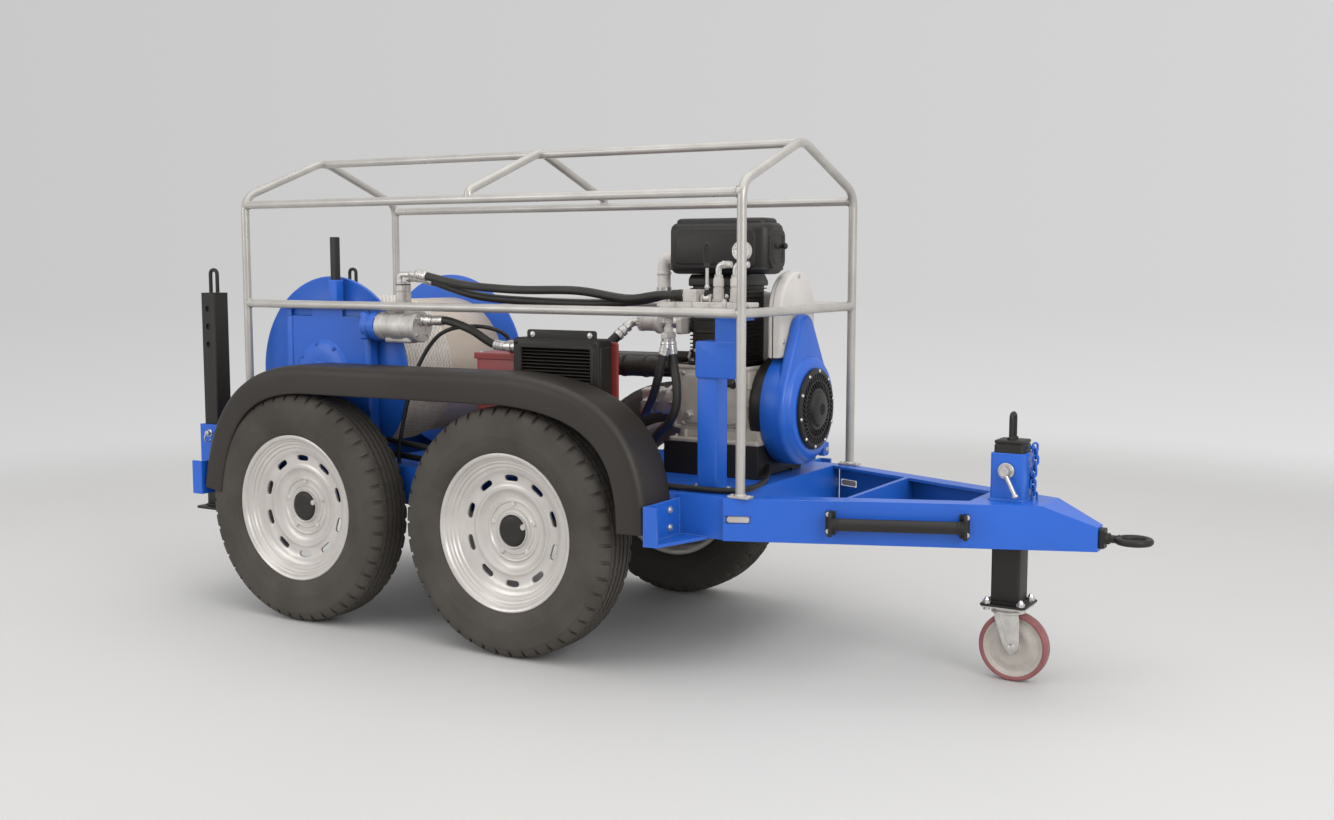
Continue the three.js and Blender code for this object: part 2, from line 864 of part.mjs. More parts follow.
function drawbarPlan(from, to, inset) {
  const [near, far] = [drawbarEdge(from, inset), drawbarEdge(to, inset)];
  return [[from, -near], [to, -far], [to, far], [from, near]];
}

function drawbar() {
  const start = frameFront + seat;
  const noseStart = noseEnd - noseLength;
  const full = prism('z', drawbarPlan(start, noseEnd, 0), [frameBottom, frameTop]);
  const web = prism('z', drawbarPlan(start - overrun, noseStart, railWall),
    [frameBottom + railWall, frameTop - railWall]);
  const opening = prism('z', drawbarPlan(start - overrun, noseStart, railFlange),
    [frameBottom - overrun, frameTop + overrun]);
  const noseRoom = prism('z', drawbarPlan(noseStart + railWall, noseEnd - noseSlopeLength, railWall),
    [frameBottom - overrun, frameTop - railWall]);
  const slope = prism('y', [
    [noseEnd - noseSlopeLength, frameTop], [noseEnd + overrun, frameTop - noseSlopeDrop],
    [noseEnd + overrun, frameTop + overrun], [noseEnd - noseSlopeLength, frameTop + overrun],
  ], [-drawbarHalfWidth, drawbarHalfWidth]);
  const half = jockeySleeve / 2 + seat;
  const sleeveRoom = block([jockeyPlace - half, jockeyPlace + half], [-half, half],
    [frameBottom - overrun, frameTop + overrun]);
  const beams = cut(full, web, opening);
  const memberPlace = start + drawbarMemberPlace;
  const member = prism('z', drawbarPlan(memberPlace, memberPlace + memberThickness, railWall / 2),
    [frameBottom, frameTop]);
  const slotMiddle = start + drawbarSlotPlace;
  const slotLevel = (frameTop + frameBottom) / 2;
  const slot = block(
    [slotMiddle - drawbarSlotLength / 2, slotMiddle + drawbarSlotLength / 2],
    [-drawbarHalfWidth - overrun, drawbarHalfWidth + overrun],
    [slotLevel - drawbarSlotHeight / 2, slotLevel + drawbarSlotHeight / 2],
  );
  return cut(join(beams, member), noseRoom, slope, sleeveRoom, slot);
}
add('drawbar', drawbar(), materials.bluePaint);

// Grab handles: a round bar between two plates on each drawbar face.
function grabHandle() {
  const plateHalf = handlePlateHeight / 2;
  const middle = handlePlateDepth - handleRadius;
  const plates = [0, handleLength - handlePlateThickness].map((place) => block(
    [place, place + handlePlateThickness], [-handlePlateDepth, 0], [-plateHalf, plateHalf],
  ));
  return join(rod('x', handleRadius, [0, handleLength], [-middle, 0]), ...plates);
}
for (const [side, hand] of [['right', 1], ['left', -1]]) {
  const place = frameFront + seat + handlePlace;
  const holder = new THREE.Group();
  holder.position.set(place, -hand * (drawbarEdge(place, 0) + seat), (frameTop + frameBottom) / 2);
  holder.rotation.z = hand * Math.atan(drawbarSlope);
  machine.add(holder);
  const handle = grabHandle();
  add(`grab_handle_${side}`, hand > 0 ? handle : mirrorY(handle), materials.blackPaint, holder);
}

// Towing eye: a flat ring on a shank, behind a block on the nose.
const eyeRingPlace = noseEnd + seat + eyeBlockThickness + eyeShankLength + eyeRingRadius;
function towingEye() {
  const start = noseEnd + seat;
  const shankEnd = eyeRingPlace - eyeRingRadius;
  const plate = block([start, start + eyeBlockThickness], [-eyeBlockHalfWidth, eyeBlockHalfWidth],
    [eyeHeight - eyeBlockHeight / 2, eyeHeight + eyeBlockHeight / 2]);
  const shank = rod('x', eyeShankRadius, [start, shankEnd], [0, eyeHeight]);
  const ring = new THREE.TorusGeometry(eyeRingRadius, eyeWireRadius, smallFacets, wheelFacets);
  return join(plate, shank, solidOf(ring.translate(eyeRingPlace, 0, eyeHeight)));
}
add('towing_eye', towingEye(), materials.blackPaint);

// Jockey leg: a sleeve in the nose, and a square column with a castor below it.
const columnHalf = jockeyColumn / 2;
const castorForkTop = castorRadius + castorRadius * facetStretch + castorRoom + castorCrown;
const castorPlateBottom = castorForkTop + seat;
const castorPlateTop = castorPlateBottom + castorPlateThickness;

function sleeveOf(place, half, wall, [bottom, top]) {
  return cut(
    block([place - half, place + half], [-half, half], [bottom, top]),
    block([place - half + wall, place + half - wall], [-half + wall, half - wall],
      [bottom - overrun, top + overrun]),
  );
}
const clampLevel = jockeySleeveTop - clampDrop;
const sleeveSide = jockeySleeve / 2;
const screwHole = rod('y', clampScrewRadius + runGap, [-sleeveSide - overrun, -columnHalf],
  [jockeyPlace, clampLevel]);
const plainSleeve = sleeveOf(jockeyPlace, sleeveSide, jockeySleeveWall, [frameBottom, jockeySleeveTop]);
add('jockey_sleeve', cut(plainSleeve, screwHole), materials.bluePaint);

function wireLoop([place, side], [bottom, top], width, axis) {
  const half = width / 2;
  const corner = (way, level) => (axis === 'x' ? [place + way, side, level] : [place, side + way, level]);
  const corners = [
    corner(-half, bottom), corner(-half, top - loopWire),
    corner(half, top - loopWire), corner(half, bottom),
  ];
  return tube(corners, loopWire, half, wireFacets);
}

function jockeyLeg() {
  const column = block([jockeyPlace - columnHalf, jockeyPlace + columnHalf], [-columnHalf, columnHalf],
    [castorPlateTop - weldLap, jockeyColumnTop]);
  const half = castorPlate / 2;
  const plate = block([jockeyPlace - half, jockeyPlace + half], [-half, half],
    [castorPlateBottom, castorPlateTop]);
  const reach = half - castorBoltInset;
  const bolts = [[-reach, -reach], [reach, -reach], [reach, reach], [-reach, reach]].map(([x, y]) => rod(
    'z', castorBoltRadius, [castorPlateBottom - castorBoltHead, castorPlateTop + castorBoltHead],
    [jockeyPlace + x, y], 6,
  ));
  const loop = wireLoop([jockeyPlace, 0], [jockeyColumnTop - weldLap, jockeyColumnTop + jockeyLoopHeight],
    jockeyLoopWidth, 'y');
  return join(column, plate, ...bolts, loop);
}
add('jockey_column', jockeyLeg(), materials.blackPaint);

// Clamp screw with a disc and a cross bar. Its tip stops just short of the column.
function jockeyClamp() {
  const face = -sleeveSide - seat;
  const barSide = face - (clampDiscThickness + clampBarRadius) * 2;
  const disc = rod('y', clampDiscRadius, [face - clampDiscThickness, face], [jockeyPlace, clampLevel]);
  const screw = rod('y', clampScrewRadius, [barSide - clampBarRadius, -columnHalf - seat],
    [jockeyPlace, clampLevel], smallFacets);
  const bar = rod('z', clampBarRadius, [clampLevel - clampBarLength, clampLevel + clampScrewRadius],
    [jockeyPlace, barSide], smallFacets);
  return join(disc, screw, bar);
}
add('jockey_clamp', jockeyClamp(), materials.zincPlate);

function castorFork() {
  const legSide = castorWidth / 2 + castorForkGap;
  const outside = legSide + castorForkSheet;
  const wheelPlace = jockeyPlace + castorTrail;
  const crownBottom = castorForkTop - castorCrown;
  const crown = rod('z', castorCrownRadius, [crownBottom, castorForkTop], [jockeyPlace, 0]);
  const half = castorForkWidth / 2;
  const boss = castorHubRadius;
  const legOutline = [
    [jockeyPlace - half, castorForkTop - castorCrown / 2], [jockeyPlace - half, crownBottom - boss],
    [wheelPlace - boss, castorRadius], [wheelPlace, castorRadius - boss],
    [wheelPlace + boss, castorRadius], [wheelPlace + half - boss / 2, crownBottom - boss],
    [jockeyPlace + half, castorForkTop - castorCrown / 2],
  ];
  const legs = [-1, 1].map((way) => prism('y', legOutline,
    way < 0 ? [-outside, -legSide] : [legSide, outside]));
  const pin = rod('y', castorPin, [-outside - castorPin, outside + castorPin],
    [wheelPlace, castorRadius], smallFacets);
  return join(crown, ...legs, pin);
}
add('castor_fork', castorFork(), materials.zincPlate);

function castorWheel() {
  const half = castorWidth / 2;
  const bore = castorPin + runGap;
  const edge = castorRadius - castorTread;
  const discHalf = half - castorTread / 2;
  const profile = [
    [bore, -half], [castorHubRadius, -half], [castorHubRadius, -discHalf], [edge, -discHalf],
    [edge, -half], [castorRadius, -half + castorTread / 2], [castorRadius, half - castorTread / 2],
    [edge, half], [edge, discHalf], [castorHubRadius, discHalf], [castorHubRadius, half], [bore, half],
  ];
  return turned(stretched(profile), wheelFacets);
}
const castor = add('castor_wheel', castorWheel(), materials.redPolymer);
castor.position.set(jockeyPlace + castorTrail, 0, castorRadius);

// Rear stands: drilled square columns that slide in the frame's rear sleeves.
function rearStand() {
  const half = standColumn / 2;
  const inside = half - standWall;
  const [x, y] = [standPlace, -standSide];
  const footTop = standFootHeight + standFootThickness;
  const column = cut(
    block([x - half, x + half], [y - half, y + half], [footTop - weldLap, standTop]),
    block([x - inside, x + inside], [y - inside, y + inside], [footTop + standWall, standTop - standWall]),
  );
  const holes = Array.from({ length: standHoleCount }, (_, index) => rod(
    'y', standHoleRadius, [y - half - overrun, y + half + overrun],
    [x, standTop - standHoleDrop - index * standHolePitch], smallFacets,
  ));
  const footHalf = standFoot / 2;
  const foot = block([x - footHalf, x + footHalf], [y - footHalf, y + footHalf], [standFootHeight, footTop]);
  const loop = wireLoop([x, y], [standTop - weldLap, standTop + standLoopHeight], standLoopWidth, 'x');
  return join(cut(column, ...holes), foot, loop);
}
const rightStand = rearStand();
add('rear_stand_right', rightStand, materials.blackPaint);
add('rear_stand_left', mirrorY(rightStand), materials.blackPaint);

// Canopy frame of bent tube
const footTop = deckLevel + canopyFootThickness;

function hoopTube(place, radius) {
  const side = canopyHalfWidth;
  const corner = eaveHeight + hoopCornerRise;
  const start = footTop - weldLap;
  return tube([
    [place, -side, start], [place, -side, corner], [place, 0, ridgeHeight],
    [place, side, corner], [place, side, start],
  ], radius, hoopBend);
}

function hoop(place) {
  const half = canopyFootWidth / 2;
  const feet = [-canopyHalfWidth, canopyHalfWidth].map((side) => block(
    [place - canopyFootLength / 2, place + canopyFootLength / 2], [side - half, side + half],
    [deckLevel, footTop],
  ));
  return join(hoopTube(place, canopyTube), ...feet);
}

// Tubes are cut back where they meet, by the other tube enlarged by the fit.
const copingRadius = canopyTube + seat * 2;
const hoopCopings = [-canopyRear, canopyFront].map((place) => hoopTube(place, copingRadius));

function crossRail(radius) {
  return rod('y', radius, [-canopyHalfWidth, canopyHalfWidth], [canopyFront, sideRailHeight], smallFacets);
}

function alongRail(side, height, radius = canopyTube) {
  return rod('x', radius, [-canopyRear, canopyFront], [side, height], smallFacets);
}
add('rear_hoop', hoop(-canopyRear), materials.whitePaint);
add('front_hoop', join(hoop(canopyFront), crossRail(canopyTube)), materials.whitePaint);
for (const [side, way] of [['right', -1], ['left', 1]]) {
  const place = way * canopyHalfWidth;
  const sideRail = cut(alongRail(place, sideRailHeight), ...hoopCopings, crossRail(copingRadius));
  add(`side_rail_${side}`, sideRail, materials.whitePaint);
  add(`eave_rail_${side}`, cut(alongRail(place, eaveHeight), ...hoopCopings), materials.whitePaint);
}

// Ridge tube with the rafters of the middle truss, which stand on the eave tubes.
function ridgeTruss() {
  const side = canopyHalfWidth;
  const corner = eaveHeight + hoopCornerRise;
  const rise = ridgeHeight - corner;
  const level = ridgeHeight - (hoopBend * rise) / Math.hypot(side, rise) / 2;
  const place = canopyTrussPlace;
  const rafters = tube([
    [place, -side, eaveHeight], [place, -side, corner], [place, 0, ridgeHeight],
    [place, side, corner], [place, side, eaveHeight],
  ], canopyTube, trussBend);
  const eaves = [-side, side].map((way) => alongRail(way, eaveHeight, copingRadius));
  return cut(join(rafters, alongRail(0, level)), ...eaves, ...hoopCopings);
}
add('ridge_truss', ridgeTruss(), materials.whitePaint);

// Winch drum on two bosses of the pedestals, with a rope wound over part of its core
const drum = new THREE.Group();
drum.position.set(drumPlace, 0, drumHeight);
machine.add(drum);

function winchDrum() {
  const half = drumHalfWidth;
  const full = half + drumFlange;
  const bore = (drumBossRadius + runGap) / Math.cos(Math.PI / drumFacets);
  const inside = drumCoreRadius - drumWall;
  const profile = [
    [drumFlangeRadius, -full], [drumFlangeRadius, -half], [drumCoreRadius, -half],
    [drumCoreRadius, half], [drumFlangeRadius, half], [drumFlangeRadius, full], [bore, full],
    [bore, half], [inside, half], [inside, -half], [bore, -half], [bore, -full],
  ];
  const anchor = rod('z', anchorHoleRadius, [drumCoreRadius - drumWall * 2, drumCoreRadius + overrun],
    [0, half - drumWall * 2], smallFacets);
  return cut(turned(profile, drumFacets), anchor);
}
add('winch_drum', winchDrum(), materials.bluePaint, drum);

// The rope winding: one helix whose ends run straight for one rope diameter.
const ropeCentre = (drumCoreRadius + ropeRadius + seat) / Math.cos(Math.PI / ropeSteps);
function ropePoints() {
  const start = -drumHalfWidth + ropeRadius + seat + runGap;
  const total = ropeLoops * ropeSteps;
  const points = [];
  for (let i = 0; i <= total; i += 1) {
    const angle = (i / ropeSteps) * Math.PI * 2;
    const along = start + (i / ropeSteps) * ropePitch;
    points.push(new THREE.Vector3(Math.cos(angle) * ropeCentre, along, Math.sin(angle) * ropeCentre));
  }
  const straight = ropeRadius * 2;
  const head = points[0].clone().sub(new THREE.Vector3(0, 0, straight));
  const tail = points[total].clone().add(new THREE.Vector3(0, 0, straight));
  return [head, ...points, tail];
}

// The least distance between the surfaces of neighbouring loops, measured on the path's points.
function leastGap(points) {
  let least = Infinity;
  for (let i = 0; i < points.length; i += 1) {
    for (let j = i + ropeSteps - 2; j < points.length; j += 1) {
      least = Math.min(least, points[i].distanceTo(points[j]) - ropeRadius * 2);
    }
  }
  return least;
}
const ropePath = ropePoints();
console.log(`rope winding, least gap between loops: ${leastGap(ropePath).toFixed(2)} mm`);
add('rope_winding', swept(ringShape(ropeRadius, ropeSides), ropePath), materials.ropeFibre, drum);

// Pedestals: boxes open towards the drum, with the boss that carries it
function pedestal([rear, front], top) {
  const [near, far] = [-pedestalOuter, -pedestalInner];
  const shell = block([rear, front], [near, far], [deckLevel, top]);
  const room = block([rear + pedestalWall, front - pedestalWall],
    [near + pedestalWall, far + overrun], [deckLevel + pedestalWall, top - pedestalWall]);
  const boss = rod('y', drumBossRadius, [near + pedestalWall - weldLap, far + pedestalRunGap + drumBossDepth],
    [drumPlace, drumHeight], drumFacets);
  return join(cut(shell, room), boss);
}

function gearPedestal() {
  const near = -pedestalOuter;
  const dome = rod('y', gearDomeRadius - gearDomeHeight, [near - gearDomeHeight, near + weldLap],
    [drumPlace, drumHeight], wheelFacets, gearDomeRadius);
  const hub = rod('y', gearHubRadius, [near - gearDomeHeight - gearHubHeight, near],
    [drumPlace, drumHeight], wheelFacets);
  const slotTop = pedestalTop - pedestalSlotDrop;
  const slots = [
    pedestalRear + pedestalSlotInset, pedestalFront - pedestalSlotInset - pedestalSlotLength,
  ].map((start) => block([start, start + pedestalSlotLength], [near - overrun, near + pedestalWall + overrun],
    [slotTop - pedestalSlotHeight, slotTop]));
  const socketHalf = lockBar / 2 + slideGap + lockSocketWall;
  const socketSide = (pedestalOuter + pedestalInner) / 2;
  const socketPlace = drumPlace + lockSocketPlace;
  const socket = block([socketPlace - socketHalf, socketPlace + socketHalf],
    [-socketSide - socketHalf, -socketSide + socketHalf],
    [pedestalTop - pedestalWall, lockSocketTop]);
  const roomHalf = lockBar / 2 + slideGap;
  const socketRoom = block([socketPlace - roomHalf, socketPlace + roomHalf],
    [-socketSide - roomHalf, -socketSide + roomHalf],
    [lockSocketTop - lockSocketDepth, lockSocketTop + overrun]);
  const gearbox = rod('x', motorRadius, [pedestalFront - weldLap, pedestalFront + gearboxLength],
    [-motorSide, motorHeight], wheelFacets);
  const body = cut(join(pedestal([pedestalRear, pedestalFront], pedestalTop), socket), ...slots, socketRoom);
  return join(body, dome, hub, gearbox, gearboxFoot());
}

// A cheek that carries the gearbox on the front of the pedestal.
function gearboxFoot() {
  return block([pedestalFront - pedestalWall, pedestalFront + pedestalWall],
    [-motorSide - motorRadius * motorCheekShare, -pedestalInner],
    [motorHeight - motorRadius, motorHeight + motorRadius]);
}
add('winch_pedestal_right', gearPedestal(), materials.bluePaint);
const farPedestalSpan = [-farPedestalLength, farPedestalLength].map((length) => drumPlace + length / 2);
add('winch_pedestal_left', mirrorY(pedestal(farPedestalSpan, farPedestalTop)), materials.bluePaint);

function lockBarSolid() {
  const half = lockBar / 2;
  const x = drumPlace + lockSocketPlace;
  const y = -(pedestalOuter + pedestalInner) / 2;
  return block([x - half, x + half], [y - half, y + half],
    [lockSocketTop - lockSocketDepth + seat, lockBarTop]);
}
add('drum_lock_bar', lockBarSolid(), materials.blackPaint);

// Winch motor with its end flange, pipe adaptor, valve block, cartridges and elbows
const motorStart = pedestalFront + gearboxLength + seat;
const motorEnd = motorStart + motorLength;
const adaptorEnd = motorEnd + motorFlange + adaptorLength;
const blockEnd = motorEnd - valveBlockSetback;
const blockTop = motorHeight + motorRadius + valveBlockRise;
const cartridgeTop = blockTop + cartridgeHeight;
const cartridgePlace = blockEnd - cartridgeRadius * 2;
const cartridgeSides = [motorSide - cartridgeRadius, motorSide - cartridgeRadius - cartridgeSpacing];
const elbowLevels = [cartridgeTop + elbowRise - elbowRadius, cartridgeTop + elbowRadius];
const elbowEnd = cartridgePlace + elbowReach;
const adaptorLevel = motorHeight + adaptorRise;

function winchMotor() {
  const axis = [-motorSide, motorHeight];
  const body = rod('x', motorRadius, [motorStart, motorEnd], axis, wheelFacets);
  const flange = rod('x', motorRadius * motorFlangeShare, [motorEnd - weldLap, motorEnd + motorFlange], axis);
  const adaptor = rod('x', adaptorRadius, [motorEnd, adaptorEnd], [-motorSide, adaptorLevel]);
  const blockSide = motorSide - valveBlockWidth;
  const valveBlock = block([blockEnd - valveBlockLength, blockEnd],
    [-motorSide, -blockSide], [motorHeight, blockTop]);
  const cartridges = cartridgeSides.flatMap((side, index) => {
    const elbowPath = [
      [cartridgePlace, -side, cartridgeTop - weldLap], [cartridgePlace, -side, elbowLevels[index]],
      [elbowEnd, -side, elbowLevels[index]],
    ];
    return [
      rod('z', cartridgeRadius, [blockTop - weldLap, cartridgeTop], [cartridgePlace, -side], smallFacets),
      tube(elbowPath, elbowRadius, elbowRadius),
    ];
  });
  return join(body, flange, adaptor, valveBlock, ...cartridges);
}
add('winch_motor', winchMotor(), materials.castAluminium);

// Oil tank with its folded lid and the shield behind the cooler
function oilTank() {
  const [start, end] = [tankPlace, tankPlace + tankLength];
  const box = block([start, end], [-tankNearSide, tankFarSide], [deckLevel, tankTop - tankLid + weldLap]);
  const lid = block([start - tankLidLip, end + tankLidLip], [-tankNearSide - tankLidLip, tankFarSide + tankLidLip],
    [tankTop - tankLid, tankTop]);
  const shield = block([end - weldLap, end + tankShieldLength],
    [-tankNearSide, -tankNearSide + tankShieldThickness], [deckLevel, tankShieldTop]);
  return join(box, lid, shield);
}
add('oil_tank', oilTank(), materials.redPaint);

// Oil cooler: a box on two legs, with a top tab and louvres in a recess
const coolerPortEnd = coolerPlace - coolerPortLength;
const coolerPortLevel = coolerTop - coolerPortDrop;
const coolerMiddle = coolerNearSide - coolerDepth / 2;
function oilCooler() {
  const [start, end] = [coolerPlace, coolerPlace + coolerLength];
  const [near, far] = [-coolerNearSide, -coolerNearSide + coolerDepth];
  const bottom = coolerTop - coolerHeight;
  const body = block([start, end], [near, far], [bottom, coolerTop]);
  const fieldTop = coolerTop - louvreFieldDrop;
  const fieldSides = [start + louvreFieldInset, end - louvreFieldInset];
  const field = block(fieldSides, [near - overrun, near + louvreDepth], [fieldTop - louvreFieldHeight, fieldTop]);
  const pitch = louvreFieldHeight / louvreCount;
  const louvres = Array.from({ length: louvreCount - 1 }, (_, index) => {
    const level = fieldTop - pitch * (index + 1);
    return block([fieldSides[0] - weldLap, fieldSides[1] + weldLap],
      [near + louvreThickness, near + louvreDepth + weldLap],
      [level - louvreThickness / 2, level + louvreThickness / 2]);
  });
  const legs = [start, end - coolerLeg].map((place) => block([place, place + coolerLeg], [near, far],
    [deckLevel, bottom + weldLap]));
  const tabStart = start + coolerTabInset;
  const tab = block([tabStart, tabStart + coolerTabLength], [near, near + coolerTabThickness],
    [coolerTop - weldLap, coolerTop + coolerTabRise]);
  const port = rod('x', coolerPortRadius, [coolerPortEnd, start + weldLap], [-coolerMiddle, coolerPortLevel]);
  return join(cut(body, field), ...louvres, ...legs, tab, port);
}
add('oil_cooler', oilCooler(), materials.blackPaint);

// Control post with its bracket plates
const controlEnd = controlPlace + controlPlateLength;
function controlPostSolid() {
  const near = -controlNearSide;
  const post = block([controlPlace, controlPlace + controlPost], [near, near + controlPost],
    [deckLevel, controlPostTop]);
  const plate = block([controlPlace, controlEnd], [near - controlPlateThickness, near + weldLap],
    [controlPostTop - controlPlateHeight, controlPostTop]);
  const upright = block([controlPlace + controlUprightInset, controlEnd],
    [near - controlPlateThickness, near + controlPlateThickness], [controlPostTop - weldLap, controlUprightTop]);
  return join(post, plate, upright);
}
add('control_post', controlPostSolid(), materials.bluePaint);

// Control valve on the upright, with ports, cartridges, elbows and a pressure gauge
const valveBottom = controlUprightTop + seat;
const valveNear = controlNearSide;
const valveMiddle = valveNear - valveDepth / 2;
const valvePortTop = valveTop + valvePortHeight;
const leverPivot = valveTop + leverBarrelRadius + runGap;
const valvePortStart = valvePlace + valvePortPlace;
const valvePortSides = [valveNear - hoseRadius, valveNear - valveDepth + hoseRadius - runGap];
const dropPortEnd = valveBottom - dropPortLength;
function controlValve() {
  const end = valvePlace + valveLength;
  const body = block([valvePlace, end], [-valveNear, -valveNear + valveDepth], [valveBottom, valveTop]);
  const endCap = block([end - weldLap, end + valveEndLength], [-valveNear, -valveNear + valveDepth],
    [sideRailHeight + canopyTube + runGap, valveTop]);
  const ports = block([valvePortStart, valvePortStart + valvePortLength],
    [-valveNear, -valveNear + valveDepth], [valveTop - weldLap, valvePortTop]);
  const level = valveTop + controlCartridgeHeight;
  const elbowLevel = level + controlElbowRise;
  const cartridges = cartridgePlaces.flatMap((place) => [
    rod('z', controlCartridgeRadius, [valveTop - weldLap, level], [place, -valveMiddle], smallFacets),
    tube([[place, -valveMiddle, level - weldLap], [place, -valveMiddle, elbowLevel],
      [place + controlElbowReach, -valveMiddle, elbowLevel]], controlElbowRadius, controlElbowRadius),
  ]);
  const stem = rod('z', controlElbowRadius, [elbowLevel - controlElbowRadius, gaugeHeight],
    [gaugePlace, -valveMiddle], smallFacets);
  const gauge = rod('y', gaugeRadius, [-valveMiddle - gaugeDepth / 2, -valveMiddle + gaugeDepth / 2],
    [gaugePlace, gaugeHeight]);
  const drop = rod('z', dropPortRadius, [dropPortEnd, valveBottom + weldLap],
    [dropPortPlace, -valveMiddle], smallFacets);
  const teeHalf = dropPortSpread + dropPortRadius;
  const tee = block([dropPortPlace - dropPortRadius, dropPortPlace + dropPortRadius],
    [-valveMiddle - teeHalf, -valveMiddle + teeHalf], [dropPortEnd, dropPortEnd + dropTeeHeight]);
  return join(body, endCap, ports, ...cartridges, stem, gauge, drop, tee, ...leverEars());
}

// Two ears that carry the lever's pin
function leverEars() {
  const inside = leverBarrelLength / 2 + runGap;
  const outside = inside + leverEar + overrun;
  const hole = rod('x', leverPin + runGap, [leverPlace - outside, leverPlace + outside],
    [-valveMiddle, leverPivot], smallFacets);
  return [leverPlace - inside - leverEar, leverPlace + inside].map((place) => cut(block(
    [place, place + leverEar], [-valveMiddle - leverBarrelRadius, -valveMiddle + leverBarrelRadius],
    [valveTop - weldLap, leverPivot + leverBarrelRadius],
  ), hole));
}
add('control_valve', controlValve(), materials.castAluminium);

function controlLever() {
  const half = leverBarrelLength / 2;
  const reach = half + runGap + leverEar;
  const axis = [-valveMiddle, leverPivot];
  const barrel = rod('x', leverBarrelRadius, [leverPlace - half, leverPlace + half], axis);
  const pin = rod('x', leverPin, [leverPlace - reach, leverPlace + reach], axis, smallFacets);
  const shaft = rod('z', leverRod, [leverPivot, leverTop - weldLap], [leverPlace, -valveMiddle], smallFacets);
  const grip = rod('z', leverGrip * leverGripTaperShare, [leverTop - leverGripLength, leverTop],
    [leverPlace, -valveMiddle], smallFacets, leverGrip);
  return join(barrel, pin, shaft, grip);
}
add('control_lever', controlLever(), materials.blackPaint);

// Engine, from the skid upwards
const crankcaseSides = [-crankcaseNearSide, crankcaseFarSide];
function engineSkid() {
  const from = enginePlace - skidOverhang;
  const to = engineFront;
  const bars = [crankcaseSides[0] - sumpFlange, crankcaseSides[1] + sumpFlange - skidBar].map((side) => block(
    [from, to], [side, side + skidBar], [deckLevel, skidTop],
  ));
  const tie = (place) => block([place, place + skidBar / 2],
    [crankcaseSides[0], crankcaseSides[1]], [deckLevel, skidTop]);
  return join(...bars, tie(from), tie(to - skidBar / 2));
}
add('engine_skid', engineSkid(), materials.blackPaint);

function crankcase() {
  const base = skidTop + seat;
  const flange = block([enginePlace, engineFront],
    [crankcaseSides[0] - sumpFlange, crankcaseSides[1] + sumpFlange], [base, base + sumpFlangeThickness]);
  const sump = block([enginePlace + sumpFlange, engineFront], crankcaseSides, [base, sumpTop]);
  const body = block([enginePlace, engineFront], crankcaseSides, [sumpTop - weldLap, crankcaseTop]);
  const stub = rod('x', crankStubRadius, [engineFront - weldLap, engineFront + fanHousingWall + runGap * 3],
    [crankSide, crankHeight]);
  return join(flange, sump, body, stub);
}
add('crankcase', crankcase(), materials.castAluminium);

function cylinderBlock() {
  const base = crankcaseTop + seat;
  const start = cylinderPlace;
  const end = start + cylinderLength;
  const outline = [
    [-cylinderNearSide, base], [cylinderFarSide, base], [cylinderFarSide, cylinderTop - cylinderTaper],
    [cylinderFarSide - cylinderTaper, cylinderTop], [-cylinderNearSide, cylinderTop],
  ];
  return prism('x', outline, [start, end]);
}
add('cylinder_block', cylinderBlock(), materials.blackPaint);

// Fan housing: the outline of two circles of different size, joined by their tangents
function lobeOutline(inset) {
  const low = { y: crankSide, z: crankHeight, r: fanHousingRadius - inset };
  const high = { y: fanLobeSide, z: fanLobeTop - fanLobeRadius, r: fanLobeRadius - inset };
  const [dy, dz] = [high.y - low.y, high.z - low.z];
  const reach = Math.hypot(dy, dz);
  const lean = Math.atan2(dz, dy);
  const open = Math.acos((low.r - high.r) / reach);
  const arc = (circle, from, to, count) => Array.from({ length: count + 1 }, (_, index) => {
    const angle = from + ((to - from) * index) / count;
    return [circle.y + Math.cos(angle) * circle.r, circle.z + Math.sin(angle) * circle.r];
  });
  return [
    ...arc(low, lean + open, lean - open + Math.PI * 2, lobeSteps * 2),
    ...arc(high, lean - open, lean + open, lobeSteps),
  ];
}
const fanBack = engineFront + seat;
const fanFront = fanBack + fanHousingDepth;
const lobeBack = fanFront - fanLobeDepth;
const noseFront = fanFront + fanNoseDepth;

function circleOutline(radius, facets) {
  return ringShape(radius, facets).getPoints().map((point) => [point.x + crankSide, point.y + crankHeight]);
}

function fanHousing() {
  const wall = fanHousingWall;
  const shell = join(
    prism('x', circleOutline(fanHousingRadius, lobeSteps * 4), [fanBack, fanFront]),
    prism('x', lobeOutline(0), [lobeBack, fanFront]),
  );
  const room = join(
    prism('x', circleOutline(fanHousingRadius - wall, lobeSteps * 4), [fanBack + wall, fanFront - wall]),
    prism('x', lobeOutline(wall), [lobeBack + wall, fanFront - wall]),
  );
  const nose = rod('x', fanNoseRadius, [fanFront - weldLap, noseFront], [crankSide, crankHeight], drumFacets,
    fanNoseFrontRadius);
  const inlet = prism('x', circleOutline(fanInletRadius, drumFacets), [fanFront - wall - overrun, noseFront + overrun]);
  const shaftHole = prism('x', circleOutline(crankStubRadius + runGap * 2, rodFacets),
    [fanBack - overrun, fanBack + wall + overrun]);
  return cut(join(shell, nose), room, inlet, shaftHole);
}
add('fan_housing', fanHousing(), materials.bluePaint);

